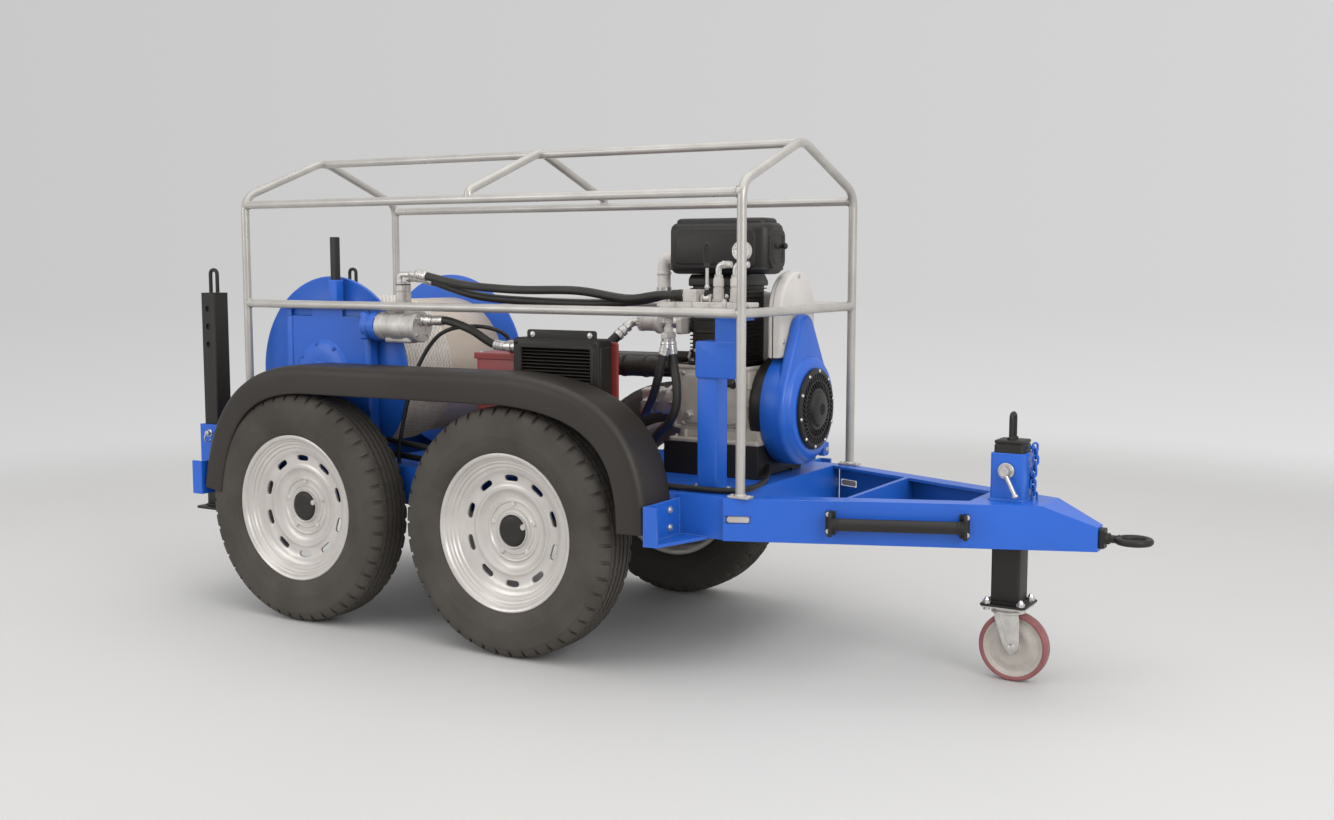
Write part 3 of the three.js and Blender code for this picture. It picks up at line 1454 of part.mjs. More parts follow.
// Cowl: an arched box over the round of the fan housing, with a duct back to the cylinder block
function engineCowl() {
  const front = lobeBack - seat;
  const back = front - cowlDepth;
  const half = cowlWidth / 2;
  const cylinderRise = cylinderTop - crankcaseTop;
  const cowlTop = cylinderTop + cylinderRise * cowlRiseShare;
  const archRise = (cowlTop - cowlBottom) * cowlArchShare;
  const springing = cowlTop - archRise;
  const arch = Array.from({ length: cowlSteps + 1 }, (_, index) => {
    const angle = (index / cowlSteps) * Math.PI;
    return [half + Math.cos(angle) * half, springing + Math.sin(angle) * archRise];
  });
  const shroud = prism('x', [[0, cowlBottom], [cowlWidth, cowlBottom], ...arch], [back, front]);
  const around = prism('x', circleOutline(fanHousingRadius + seat, lobeSteps * 4), [fanBack - seat, fanFront]);
  const duct = block([cylinderPlace + cylinderLength + seat, back + weldLap], [cowlWidth - ductWidth, cowlWidth],
    [crankcaseTop + seat, crankcaseTop + cylinderRise * ductShare]);
  return cut(join(shroud, duct), around);
}
add('engine_cowl', engineCowl(), materials.castAluminium);

// The flywheel spins on the crank inside the housing and carries the cooling blades.
const flywheelBack = fanBack + fanHousingWall + runGap * 3;
function flywheel() {
  const bladeFront = flywheelBack + flywheelDisc + flywheelBladeDepth;
  const disc = rod('x', flywheelRadius, [flywheelBack, flywheelBack + flywheelDisc], [0, 0], drumFacets);
  const hub = rod('x', crankStubRadius, [flywheelBack, bladeFront], [0, 0]);
  const blades = Array.from({ length: flywheelBladeCount }, (_, index) => {
    const blade = block([flywheelBack + flywheelDisc - weldLap, bladeFront],
      [-flywheelBladeThickness / 2, flywheelBladeThickness / 2],
      [flywheelRadius - flywheelBladeHeight, flywheelRadius - runGap * 2]);
    return solidOf(geometryOf(blade).rotateX((index / flywheelBladeCount) * Math.PI * 2));
  });
  return join(disc, hub, ...blades);
}
const flywheelMesh = add('flywheel_fan', flywheel(), materials.castAluminium);
flywheelMesh.position.set(0, crankSide, crankHeight);

function fanCover() {
  const start = noseFront + seat;
  const depth = fanCoverDepth;
  const plate = rod('x', fanCoverRadius, [start, start + depth], [crankSide, crankHeight], drumFacets,
    fanCoverRadius - depth / 2);
  const dome = rod('x', fanCoverDome, [start + depth - weldLap, start + depth + fanCoverDomeDepth],
    [crankSide, crankHeight], wheelFacets, fanCoverDome - fanCoverDomeDepth);
  return join(plate, dome);
}
add('fan_cover', fanCover(), materials.blackPaint);

// Air filter: a rounded box with a stepped lid, a neck onto the head and a knob
function roundedOutline([u0, u1], [v0, v1], radius) {
  const corners = [[u1 - radius, v1 - radius, 0], [u0 + radius, v1 - radius, 1],
    [u0 + radius, v0 + radius, 2], [u1 - radius, v0 + radius, 3]];
  return corners.flatMap(([u, v, quarter]) => Array.from({ length: bendSteps + 1 }, (_, index) => {
    const angle = (quarter + index / bendSteps) * (Math.PI / 2);
    return [u + Math.cos(angle) * radius, v + Math.sin(angle) * radius];
  }));
}
const airFilterBottom = cylinderTop + seat;
const airFilterTop = airFilterBottom + airFilterHeight;
function airFilter() {
  const [x0, x1] = [airFilterPlace, airFilterPlace + airFilterLength];
  const [y0, y1] = [-airFilterNearSide, airFilterFarSide];
  const lidStart = airFilterTop - airFilterLidStep * airFilterLidCount;
  const layer = (inset, span) => prism('z', roundedOutline(
    [x0 + inset, x1 - inset], [y0 + inset, y1 - inset], airFilterRound - inset,
  ), span);
  const body = layer(0, [airFilterBottom, lidStart]);
  const lids = Array.from({ length: airFilterLidCount }, (_, index) => {
    const level = lidStart + airFilterLidStep * index;
    return layer(airFilterLidInset * (index + 1) * (index + 2) / 2, [level - weldLap, level + airFilterLidStep]);
  });
  const knob = rod('x', airFilterKnobRadius, [x1 - weldLap, x1 + airFilterKnobLength],
    [(y0 + y1) / 2, airFilterBottom + airFilterKnobRise], rodFacets, airFilterKnobRadius * knobTaperShare);
  return join(body, ...lids, knob);
}
add('air_filter', airFilter(), materials.blackPaint);

// Intake pipe from the filter's side down into the block
function intakePipe() {
  const top = airFilterBottom + intakeRise;
  const far = airFilterPlace - intakeOffset;
  const port = crankcaseTop + (cylinderTop - crankcaseTop) * intakePortShare;
  return tube([
    [airFilterPlace - seat, intakeSide, top], [far, intakeSide, top],
    [far, intakeSide, port], [cylinderPlace - seat, intakeSide, port],
  ], intakeRadius, intakeBend, smallFacets);
}
add('intake_pipe', intakePipe(), materials.zincPlate);

// Muffler with the pipe that carries it on the block
function muffler() {
  const end = mufflerPlace + mufflerLength;
  const body = rod('x', mufflerRadius, [mufflerPlace, end], [mufflerSide, mufflerHeight]);
  const taper = rod('x', mufflerRadius, [end - weldLap, end + mufflerTaper], [mufflerSide, mufflerHeight],
    rodFacets, mufflerStubRadius);
  const rise = mufflerHeight + mufflerStubRise;
  const stub = tube([
    [end - mufflerStubRadius, mufflerSide, mufflerHeight], [end, mufflerSide, mufflerHeight],
    [end + mufflerTaper, mufflerSide, rise], [cylinderPlace - seat, mufflerSide, rise],
  ], mufflerStubRadius, mufflerStubBend);
  return join(body, taper, stub);
}
add('muffler', muffler(), materials.blackPaint);

// Oil filter on an arm of the block
function oilFilter() {
  const end = filterPlace + filterLength;
  const axis = [-filterSide, filterHeight];
  const armEnd = cylinderPlace - seat;
  const can = rod('x', filterRadius, [filterPlace, end], axis);
  const head = rod('x', filterHeadRadius, [end - weldLap, end + filterHeadLength], axis);
  const arm = rod('x', filterArmRadius, [end, armEnd], axis, smallFacets);
  const foot = block([armEnd - filterHeadLength, armEnd],
    [-filterSide - filterArmRadius, intakeSide - intakeRadius - overrun],
    [filterHeight - filterHeadRadius, filterHeight + filterArmRadius]);
  return join(can, head, arm, foot);
}
add('oil_filter', oilFilter(), materials.castAluminium);

// Hydraulic pump on the rear of the crankcase
const pumpEnd = enginePlace - seat;
const pumpPlace = pumpEnd - pumpBellLength - pumpLength;
const pumpPortPlace = pumpPlace + pumpLength / 2;
const pumpPortEnd = crankSide - pumpBodyHalf - pumpPortLength;
function hydraulicPump() {
  const bell = rod('x', pumpBellRadius * bellTaperShare, [pumpEnd - pumpBellLength, pumpEnd],
    [crankSide, crankHeight], wheelFacets, pumpBellRadius);
  const body = block([pumpPlace, pumpEnd - pumpBellLength + weldLap],
    [crankSide - pumpBodyHalf, crankSide + pumpBodyHalf],
    [crankHeight - pumpBodyHalf, crankHeight + pumpBodyHalf]);
  const port = rod('y', pumpPortRadius, [pumpPortEnd, crankSide - pumpBodyHalf + weldLap],
    [pumpPortPlace, crankHeight], smallFacets);
  return join(bell, body, port);
}
add('hydraulic_pump', hydraulicPump(), materials.castAluminium);

// Hoses, each between two fittings or between a fitting and the sheet it leaves through
const valvePortLevel = (valveTop + valvePortTop) / 2;
const valvePorts = valvePortSides.map((side) => [valvePortStart - seat, -side, valvePortLevel]);
const motorPorts = cartridgeSides.map((side, index) => [elbowEnd + seat, -side, elbowLevels[index]]);
const dropPorts = [-dropPortSpread, dropPortSpread].map((spread) => [
  dropPortPlace, -valveMiddle + spread, dropPortEnd - seat,
]);
const adaptorPort = [adaptorEnd + seat, -motorSide, adaptorLevel];
const coolerPort = [coolerPortEnd - seat, -coolerMiddle, coolerPortLevel];
const pumpPort = [pumpPortPlace, pumpPortEnd - seat, crankHeight];
const [forward, inward, upward, downward] = [[1, 0, 0], [0, 1, 0], [0, 0, 1], [0, 0, -1]];
const hoses = [
  ['supply_hose', hoseRadius, 14, [motorPorts[0], ...supplyRoute, valvePorts[0]], [forward, forward]],
  ['return_hose', hoseRadius, 14, [motorPorts[1], ...returnRoute, valvePorts[1]], [forward, forward]],
  ['cooler_hose', hoseRadius, 8, [adaptorPort, ...coolerRoute, coolerPort], [forward, forward]],
  ['drain_hose', drainHoseRadius, 18, [
    [...drainFoot, deckLevel], ...drainRoute, [...drainEnd, tankTop + seat],
  ], [upward, downward]],
  ['pressure_hose', hoseRadius, 14, [dropPorts[0], ...pressureRoute, pumpPort], [downward, inward]],
  ['relief_hose', hoseRadius, 12, [
    dropPorts[1], ...reliefRoute, [...reliefFoot, deckLevel],
  ], [downward, downward]],
];
for (const [name, radius, steps, points, ways] of hoses) {
  add(name, hose(points, radius, steps, ways), materials.hoseRubber);
}

const rearMost = standPlace - standFoot / 2;
const frontMost = eyeRingPlace + eyeRingRadius + eyeWireRadius;
machine.position.x = -(rearMost + frontMost) / 2;
const part = new THREE.Group();
part.add(machine);

export default part;
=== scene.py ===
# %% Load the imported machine
import bpy
import bmesh
import math
import numpy as np
from mathutils import Matrix


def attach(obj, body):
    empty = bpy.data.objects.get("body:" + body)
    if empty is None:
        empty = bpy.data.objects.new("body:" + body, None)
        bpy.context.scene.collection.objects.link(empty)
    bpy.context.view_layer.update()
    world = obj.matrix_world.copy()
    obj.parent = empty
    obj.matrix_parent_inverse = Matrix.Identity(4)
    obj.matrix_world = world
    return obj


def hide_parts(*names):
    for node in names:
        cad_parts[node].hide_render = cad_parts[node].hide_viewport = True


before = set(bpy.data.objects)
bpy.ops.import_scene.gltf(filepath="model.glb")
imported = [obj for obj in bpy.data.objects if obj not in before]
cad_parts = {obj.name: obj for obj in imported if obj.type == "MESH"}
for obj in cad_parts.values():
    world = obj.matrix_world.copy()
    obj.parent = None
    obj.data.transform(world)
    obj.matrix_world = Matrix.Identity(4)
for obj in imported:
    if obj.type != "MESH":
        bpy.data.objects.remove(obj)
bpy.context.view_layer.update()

# %% [markdown]
# The maker's drawing of this machine counts x from the middle between the two axles, in millimetres.
# The frame that Blender shares with the solids starts in the middle of the whole machine, in metres.
# One function turns the first into the second, so that every piece below can be written with the
# numbers of the drawing, and sits where its solid is without any fitting by eye. A second function puts
# a new object into the scene.

# %% From the drawing to the shared frame
DRAWING_ZERO = np.array([-0.5053, 0, 0])


def placed(points):
    """Points of the drawing, in millimetres, in metres of the shared frame: divided by 1000 and shifted."""
    return np.asarray(points, float) / 1000 + DRAWING_ZERO


def stand(name, data):
    """A new object in the scene, made of the data that is given."""
    thing = bpy.data.objects.new(name, data)
    bpy.context.scene.collection.objects.link(thing)
    return thing


print("The middle between the axles lies at", placed([0, 0, 0]))

# %% [markdown]
# The camera stands where the photographer stood. Its place and its three directions were worked out
# from edges of the machine whose sizes are known. They could be set by turning the camera by hand
# until the edges fit, but three perpendicular directions in a matrix give the same view every time.

# %% The camera
RIGHT = np.array([0.85968, 0.51083, 0.0006])
UP = np.array([-0.0534, 0.0888, 0.9946])
BACK = -np.array([-0.50802, 0.85509, -0.10362])
STANDPOINT = (2.1907, -3.5303, 1.0711)
SENSOR, LENS = 36, 38.39
camera = stand("camera", bpy.data.cameras.new("camera"))
turn = Matrix(np.stack([RIGHT, UP, BACK], -1).tolist()).to_4x4()
camera.matrix_world = Matrix.Translation(STANDPOINT) @ turn
camera.data.sensor_fit = "HORIZONTAL"
camera.data.sensor_width = SENSOR
camera.data.lens = LENS
bpy.context.scene.camera = camera
bpy.context.scene.view_settings.view_transform = "Standard"
print("Camera at", [round(value, 3) for value in camera.matrix_world.translation])

# %% [markdown]
# Every finish is a small tree of shader nodes. A material could be built by hand in the node editor.
# Written as code, one function adds a node with its settings and its links, and another turns the
# colour that is read on a screen, a hex value, into the linear light that Blender counts in. A third
# starts a new material.

# %% Three helpers for finishes


def linear(code):
    """A hex colour as linear light: each part is raised as the sRGB curve says, and opaque."""
    parts = np.array([int(code[i:i + 2], 16) for i in (1, 3, 5)]) / 255
    light = np.where(parts > 0.04045, ((parts + 0.055) / 1.055) ** 2.4, parts / 12.92)
    return (*light.tolist(), 1.0)


def blank(name):
    """A new material, with its tree of nodes and the shader in it."""
    material = bpy.data.materials.new(name)
    material.use_nodes = True
    return material, material.node_tree, material.node_tree.nodes["Principled BSDF"]


def shade(tree, kind, inputs=None, links=None, **settings):
    """Add one shader node, set its own options and sockets, and link what feeds it. A node in place of a
    socket feeds it from its first output."""
    node = tree.nodes.new("ShaderNode" + kind)
    for key, value in settings.items():
        setattr(node, key, value)
    for key, value in (inputs or {}).items():
        node.inputs[key].default_value = value
    for key, source in (links or {}).items():
        tree.links.new(getattr(source, "outputs", [source])[0], node.inputs[key])
    return node


# %% [markdown]
# Paint, rubber, castings and plating differ in colour, in gloss and in how coarse their relief is, but
# they share one build. Broad patches vary the colour and the gloss a little, a fine noise is the relief,
# and a Bevel node lets light catch the edges, which on a real machine are never knife sharp. Worn edges
# are found where the rounded normal leaves the true one. Sizes are given in millimetres.

# %% The build that the finishes share
CORNER = (0.97, 0.86)
SECOND_COLOUR, CHIPS, GLOSS_NOISE, GLOSS_SPREAD = (0.36, 0.64), (0.5, 0.62), (0.3, 0.7), (0.9, 1.12)
LIMITS = ("From Min", "From Max", "To Min", "To Max")
DUST_TONE, DUST_HEIGHT = "#8a8073", 0.45
COAT_GLOSS = 0.12


def finish(name, colours, rough, metal=0.0, patch=160, grain=2.0, relief=0.15, edge=2.0, worn=None,
           stretch=(1, 1, 1), coat=0.0, dust=0.0, thrown=None):
    """Colour = first colour to second over broad noise, then the worn colour where the edge mask is high,
    then dust by how low a point lies. Light that it throws on other pieces has the colour `thrown`.
    Gloss = rough plus or minus a tenth over the same noise. Relief = fine noise times its depth."""
    material, tree, shader = blank(name)
    place = shade(tree, "TexCoord")
    laid = shade(tree, "Mapping", {"Scale": stretch}, {"Vector": place.outputs["Object"]})
    broad = shade(tree, "TexNoise", {"Scale": 1000 / patch, "Detail": 4.0, "Roughness": 0.55},
                  {"Vector": laid})
    fine = shade(tree, "TexNoise", {"Scale": 1000 / grain, "Detail": 3.0}, {"Vector": laid})
    share = shade(tree, "MapRange", dict(zip(LIMITS, SECOND_COLOUR)), {"Value": broad})
    tint = shade(tree, "MixRGB", {"Color1": linear(colours[0]), "Color2": linear(colours[1])}, {"Fac": share})
    rounded = shade(tree, "Bevel", {"Radius": edge / 1000}, samples=4)
    if worn:
        true = shade(tree, "NewGeometry")
        along = shade(tree, "VectorMath", None, {0: rounded, 1: true.outputs["Normal"]},
                      operation="DOT_PRODUCT")
        away = shade(tree, "MapRange", dict(zip(LIMITS, CORNER)),
                     {"Value": along.outputs["Value"]})
        patchy = shade(tree, "MapRange", dict(zip(LIMITS, CHIPS)), {"Value": broad})
        mask = shade(tree, "Math", None, {0: away, 1: patchy}, operation="MULTIPLY")
        tint = shade(tree, "MixRGB", {"Color2": linear(worn)}, {"Fac": mask, "Color1": tint})
    if dust:
        height = shade(tree, "SeparateXYZ", None, {0: place.outputs["Object"]})
        low = shade(tree, "MapRange", dict(zip(LIMITS, (DUST_HEIGHT, 0.0, 0.0, dust))),
                    {"Value": height.outputs["Z"]})
        speckled = shade(tree, "Math", None, {0: low, 1: fine}, operation="MULTIPLY")
        tint = shade(tree, "MixRGB", {"Color2": linear(DUST_TONE)}, {"Fac": speckled, "Color1": tint})
    if thrown:
        path = shade(tree, "LightPath")
        tint = shade(tree, "MixRGB", {"Color2": linear(thrown)},
                     {"Fac": path.outputs["Is Diffuse Ray"], "Color1": tint})
    gloss = shade(tree, "MapRange",
                  dict(zip(LIMITS, (*GLOSS_NOISE, rough * GLOSS_SPREAD[0], rough * GLOSS_SPREAD[1]))),
                  {"Value": broad})
    bump = shade(tree, "Bump", {"Strength": 1.0, "Distance": relief / 1000},
                 {"Height": fine, "Normal": rounded})
    for socket, value in (("Metallic", metal), ("Coat Weight", coat), ("Coat Roughness", COAT_GLOSS)):
        shader.inputs[socket].default_value = value
    for socket, source in (("Base Color", tint), ("Roughness", gloss), ("Normal", bump)):
        tree.links.new(source.outputs[0], shader.inputs[socket])
    return material


# %% [markdown]
# The frame, the winch's cheeks and the fan housing are welded steel under two-pack enamel, sprayed on
# thick. That gives a saturated blue with a clear gloss, a slight orange peel, and bright chips on edges.
# The light that it throws on its neighbours is set to grey, or the floor and the wheels would look blue.
# The other paints are the same kind of coat with their own colour, gloss and wear.

# %% Paints
blue_enamel = finish("blue_enamel", ("#1c5fc8", "#1859be"), 0.4, patch=420, grain=5, relief=0.05,
                     edge=3, worn="#7f9bd0", coat=0.12, thrown="#66686c")
black_powder_coat = finish("black_powder_coat", ("#1b1813", "#181510"), 0.48, patch=260, grain=1.4,
                           relief=0.12, edge=2, worn="#4a4642")
fender_coat = finish("fender_coat", ("#262019", "#221c15"), 0.5, patch=300, grain=2, relief=0.08, edge=3)
silver_lacquer = finish("silver_lacquer", ("#d2cdc8", "#c6c1bc"), 0.33, metal=0.45, patch=90, grain=1.2,
                        relief=0.06, edge=1.5)
canopy_enamel = finish("canopy_enamel", ("#bbb8b3", "#afaba6"), 0.3, metal=0.4, patch=120, grain=3,
                       relief=0.05, edge=1)
cowl_enamel = finish("cowl_enamel", ("#d0ccc8", "#c8c3be"), 0.4, patch=160, grain=2, relief=0.05, edge=3)
tank_enamel = finish("tank_enamel", ("#963a38", "#8c3432"), 0.42, patch=180, grain=2, relief=0.06, edge=2)
print("Paints:", blue_enamel.name, black_powder_coat.name, fender_coat.name)

# %% [markdown]
# Bare metals are left as they were made. A sand casting is grey and grainy, zinc plate is bright and
# slightly cloudy, the drum's core is rolled steel with a warm, oiled film, and polished fittings
# reflect the studio. As metals they keep the shader's own index of refraction.

# %% Metals
sand_cast_aluminium = finish("sand_cast_aluminium", ("#cbc8c4", "#b4b0ac"), 0.42, metal=0.55, patch=50,
                             grain=1.6, relief=0.5, edge=2.5)
pale_casting = finish("pale_casting", ("#c6c1bc", "#b8b2ad"), 0.5, metal=0.3, patch=40, grain=1.6,
                      relief=0.35, edge=2)
zinc_plate = finish("zinc_plate", ("#d9d6d2", "#c8c5c1"), 0.3, metal=0.85, patch=18, grain=1,
                    relief=0.08, edge=1)
oiled_core_steel = finish("oiled_core_steel", ("#c5b9ac", "#b4a798"), 0.46, metal=0.25, patch=140,
                          grain=2, relief=0.06, edge=2, stretch=(1, 0.3, 1))
crankcase_casting = finish("crankcase_casting", ("#b2aba3", "#a09991"), 0.46, metal=0.2, patch=70,
                           grain=1.8, relief=0.45, edge=3)
muffler_steel = finish("muffler_steel", ("#332f2a", "#2b2722"), 0.45, metal=0.3, patch=60, grain=1.5,
                       relief=0.15, edge=1)

# %% [markdown]
# The soft materials: tyre rubber is matte and greys with dust towards the ground, a hose has a smooth
# extruded cover with a faint sheen, and the castor runs on cast polyurethane around a nylon wheel.
# The filter housing and the starter cover are moulded plastic with a fine leather-like grain.

# %% Rubber and plastic
tyre_rubber = finish("tyre_rubber", ("#45403b", "#3d3934"), 0.8, patch=110, grain=1.5, relief=0.12,
                     edge=1.5, dust=0.1)
hose_cover = finish("hose_cover", ("#26241f", "#211f1b"), 0.46, patch=60, grain=1, relief=0.05, edge=0.5)
cast_polyurethane = finish("cast_polyurethane", ("#92595a", "#834e4f"), 0.45, patch=40, grain=1.5,
                           relief=0.05, edge=1.5)
nylon = finish("nylon", ("#b6afa8", "#a9a29b"), 0.5, patch=40, grain=1, relief=0.05, edge=1.5)
moulded_plastic = finish("moulded_plastic", ("#191613", "#161311"), 0.44, patch=120, grain=0.9,
                         relief=0.08, edge=2)
dark_gap = finish("dark_gap", ("#14130f", "#100f0d"), 0.9, patch=80, grain=2, relief=0.05, edge=1)
dial_card = finish("dial_card", ("#e4e2de", "#dedbd6"), 0.5, patch=20, grain=1, relief=0.02, edge=0.5)

# %% [markdown]
# The object stands on a plain pale floor with no wall behind it. Far from the machine the floor fades
# into the same pale tone as the world, for the camera and for reflections only, so no horizon shows and
# nothing blocks a view from another side. A wall would be simpler, but it would hide the machine's back.

# %% The pale backdrop
WALL_TONE, LOW_TONE = "#cfcfcf", "#e8e8e8"
# The second pair is painted light: the backdrop grows darker to the left of the picture and lighter to the
# right.
WALL_TO_LOW, PAINTED_SIDE_LIGHT = (-0.03, -0.23), (-0.5, 0.5, 0.925, 1.075)


def seen_directly(tree):
    """1 for rays from the camera, off gloss or through glass: the largest of the three Light Path flags."""
    path = shade(tree, "LightPath")
    first = shade(tree, "Math", None, {0: path.outputs["Is Camera Ray"], 1: path.outputs["Is Glossy Ray"]},
                  operation="MAXIMUM")
    return shade(tree, "Math", None, {0: first, 1: path.outputs["Is Transmission Ray"]}, operation="MAXIMUM")


def backdrop(tree, heading):
    """The pale tone seen in a direction: from WALL_TONE at the horizon to LOW_TONE a fifth below it, and with
    painted light, lighter to the right of the picture by the part of the direction along the camera's right."""
    split = shade(tree, "SeparateXYZ", None, {0: heading})
    below = shade(tree, "MapRange", dict(zip(LIMITS, WALL_TO_LOW)), {"Value": split.outputs["Z"]})
    tone = shade(tree, "MixRGB", {"Color1": linear(WALL_TONE), "Color2": linear(LOW_TONE)}, {"Fac": below})
    aside = shade(tree, "VectorMath", {1: tuple(RIGHT)}, {0: heading}, operation="DOT_PRODUCT")
    # Painted light: the backdrop's tone is raised towards the picture's right side and lowered towards its
    # left.
    side_light = shade(tree, "MapRange", dict(zip(LIMITS, PAINTED_SIDE_LIGHT)), {"Value": aside.outputs["Value"]})
    return shade(tree, "VectorMath", None, {0: tone, "Scale": side_light}, operation="SCALE")


print("The backdrop runs from", WALL_TONE, "to", LOW_TONE)

# %% [markdown]
# The world gives an even light from all sides, as a studio with pale walls does. What the camera sees of
# it is the backdrop's tone instead, so the light's strength and the picture's background can differ.

# %% World
WORLD_LIGHT = 0.96
world = bpy.data.worlds.new("studio")
bpy.context.scene.world = world
world.use_nodes = True
air = world.node_tree
lit = shade(air, "Background", {"Color": linear("#ffffff"), "Strength": WORLD_LIGHT})
sky = shade(air, "TexCoord")
shown = shade(air, "Background", {"Strength": 1.0}, {"Color": backdrop(air, sky.outputs["Generated"])})
choice = shade(air, "MixShader", None, {0: seen_directly(air), 1: lit, 2: shown})
air.links.new(choice.outputs[0], air.nodes["World Output"].inputs["Surface"])
print("World light", WORLD_LIGHT)

# %% [markdown]
# The floor is one big square of pale, slightly mottled paint that takes the machine's shadow. Between two
# distances from the middle it turns into plain light of the backdrop's tone, which hides its far edge.

# %% Floor
FLOOR_TONE, FLOOR_MOTTLE = "#c6c5c4", "#c2c1c0"
FADE, REACH = (3.4, 5.6), 40
floor_mesh = bpy.data.meshes.new("floor")
floor_mesh.from_pydata([(-REACH, -REACH, 0), (REACH, -REACH, 0), (REACH, REACH, 0), (-REACH, REACH, 0)], [],
                       [(0, 1, 2, 3)])
floor = stand("floor", floor_mesh)
paint, tree, surface = blank("floor_paint")
spot = shade(tree, "TexCoord")
mottle = shade(tree, "TexNoise", {"Scale": 1.2, "Detail": 3.0}, {"Vector": spot.outputs["Object"]})
tones = shade(tree, "MixRGB", {"Color1": linear(FLOOR_TONE), "Color2": linear(FLOOR_MOTTLE)}, {"Fac": mottle})
tree.links.new(tones.outputs[0], surface.inputs["Base Color"])
surface.inputs["Roughness"].default_value = 0.6
distance = shade(tree, "VectorMath", None, {0: spot.outputs["Object"]}, operation="LENGTH")
fade = shade(tree, "MapRange", dict(zip(LIMITS, FADE)), {"Value": distance.outputs["Value"]},
             interpolation_type="SMOOTHSTEP")
amount = shade(tree, "Math", None, {0: fade, 1: seen_directly(tree)}, operation="MULTIPLY")
towards = shade(tree, "NewGeometry")
onwards = shade(tree, "VectorMath", {"Scale": -1.0}, {0: towards.outputs["Incoming"]}, operation="SCALE")
glow = shade(tree, "Emission", {"Strength": 1.0}, {"Color": backdrop(tree, onwards)})
blend = shade(tree, "MixShader", None, {0: amount, 1: surface, 2: glow})
tree.links.new(blend.outputs[0], tree.nodes["Material Output"].inputs["Surface"])
floor.data.materials.append(paint)
print("The floor fades between", FADE, "m")

# %% [markdown]
# Three large soft lamps stand overhead, at the front right and at the near left. Large ones give the wide,
# soft highlights of a studio. Each is turned to its aim by three directions at right angles.

# %% Lamps
LAMPS = {
    "overhead": ((0.2, -0.4, 3.6), (0, 0, 0.4), 4.5, 56),
    "front_right": ((4.4, -2.2, 2.6), (0, 0, 0.7), 2.4, 78),
    "near_left": ((-3.0, -4.2, 2.2), (0, 0, 0.6), 2.4, 40),
}


def unit(vectors):
    """Vectors divided by their own lengths."""
    return vectors / np.linalg.norm(vectors, axis=-1, keepdims=True)


for lamp_name, (stands, looks, size, power) in LAMPS.items():
    lamp = bpy.data.lights.new(lamp_name, "AREA")
    lamp.size = size
    lamp.energy = power
    away = unit(np.array(stands) - np.array(looks))
    sideways = unit(np.cross([0.0, 1.0, 0.0], away))
    facing = Matrix(np.stack([sideways, np.cross(away, sideways), away], -1).tolist()).to_4x4()
    stand(lamp_name, lamp).matrix_world = Matrix.Translation(stands) @ facing
print("Lamps:", ", ".join(LAMPS))

# %% [markdown]
# A surface is a grid of points, worked out as one array from two parameters. Joined point to point it
# becomes a mesh. Blender could also screw, spin or extrude by operators, but a formula on an array says
# exactly which shape is meant. The first makers turn a profile round an axis and carry a circle on a path.

# %% Round shells from arrays
AXES = {"x": (1, 0, 0), "y": (0, 1, 0), "z": (0, 0, 1), "-x": (-1, 0, 0), "-y": (0, -1, 0), "-z": (0, 0, -1)}


def skin(points, round_rows=False, round_columns=True, caps=False):
    """Join a grid of points: each to the next in its row and to the same one in the next row. A round
    grid also joins its last to its first, and caps close the first and last row with one face."""
    rows, columns = points.shape[:2]
    r = np.arange(rows if round_rows else rows - 1)[:, None]
    c = np.arange(columns if round_columns else columns - 1)[None]
    next_r, next_c = (r + 1) % rows, (c + 1) % columns
    corners = (r * columns + c, r * columns + next_c, next_r * columns + next_c, next_r * columns + c)
    faces = np.stack(corners, -1).reshape(-1, 4).tolist()
    if caps:
        faces += [list(range(columns)), list(range((rows - 1) * columns, rows * columns))]
    return points.reshape(-1, 3), faces


def directions(axis):
    """Two unit directions at right angles to an axis, and the axis itself, by cross products."""
    along = unit(np.array(AXES[axis] if isinstance(axis, str) else axis, float))
    helper = np.array([0.0, 0, 1]) if abs(along[2]) < 0.9 else np.array([1.0, 0, 0])
    first = unit(np.cross(helper, along))
    return first, np.cross(along, first), along


def turned(profile, centre, axis, steps=64, closed=False, start=0.0):
    """A profile of (radius, along) pairs turned round an axis: centre + along * axis + radius * ring."""
    first, second, along = directions(axis)
    radius, level = np.asarray(profile, float).T
    angle = start + np.arange(steps) * 2 * np.pi / steps
    ring = np.cos(angle)[:, None] * first + np.sin(angle)[:, None] * second
    points = np.asarray(centre, float) + level[:, None, None] * along + radius[:, None, None] * ring
    return skin(points, round_rows=closed)


def rod(radius, low, high, centre, axis, steps):
    """A plain round bar from low to high along an axis."""
    return turned([(0, low), (radius, low), (radius, high), (0, high)], centre, axis, steps)


def torus(centre, axis, radius, wire, steps=48):
    """A torus: a small circle turned round an axis."""
    q = np.arange(12) * np.pi / 6
    circle = np.stack([radius + wire * np.cos(q), wire * np.sin(q)], -1)
    return turned(circle, centre, axis, steps, closed=True)


def mirrored(half):
    """A profile of (radius, along) pairs and its mirror image, in one row."""
    return half + [(radius, -along) for radius, along in half[::-1]]


def bar(path, radius, sides=16, across="y", caps=True):
    """A round bar along a path: path + radius * (cos * side + sin * other). The side direction is at right
    angles to both the path and `across`, so a bar in one plane doesn't twist."""
    path = np.asarray(path, float)
    heading = unit(np.gradient(path, axis=0))
    side = unit(np.cross(heading, AXES[across]))
    other = np.cross(side, heading)
    angle = np.arange(sides) * 2 * np.pi / sides
    reach = np.broadcast_to(np.asarray(radius, float), len(path))[:, None, None]
    ring = np.cos(angle)[None, :, None] * side[:, None] + np.sin(angle)[None, :, None] * other[:, None]
    return skin(path[:, None] + reach * ring, caps=caps)


print("Round makers: turned, rod, torus and bar")

# %% [markdown]
# Plates, boxes and square tubes are outlines carried along one axis. Their corners are eased, and both
# ends are drawn in by a quarter circle, because folded and cut steel never has knife edges. A Bevel
# modifier would round every edge alike. Here each outline and each end gets its own rounding.

# %% Outlines carried along an axis


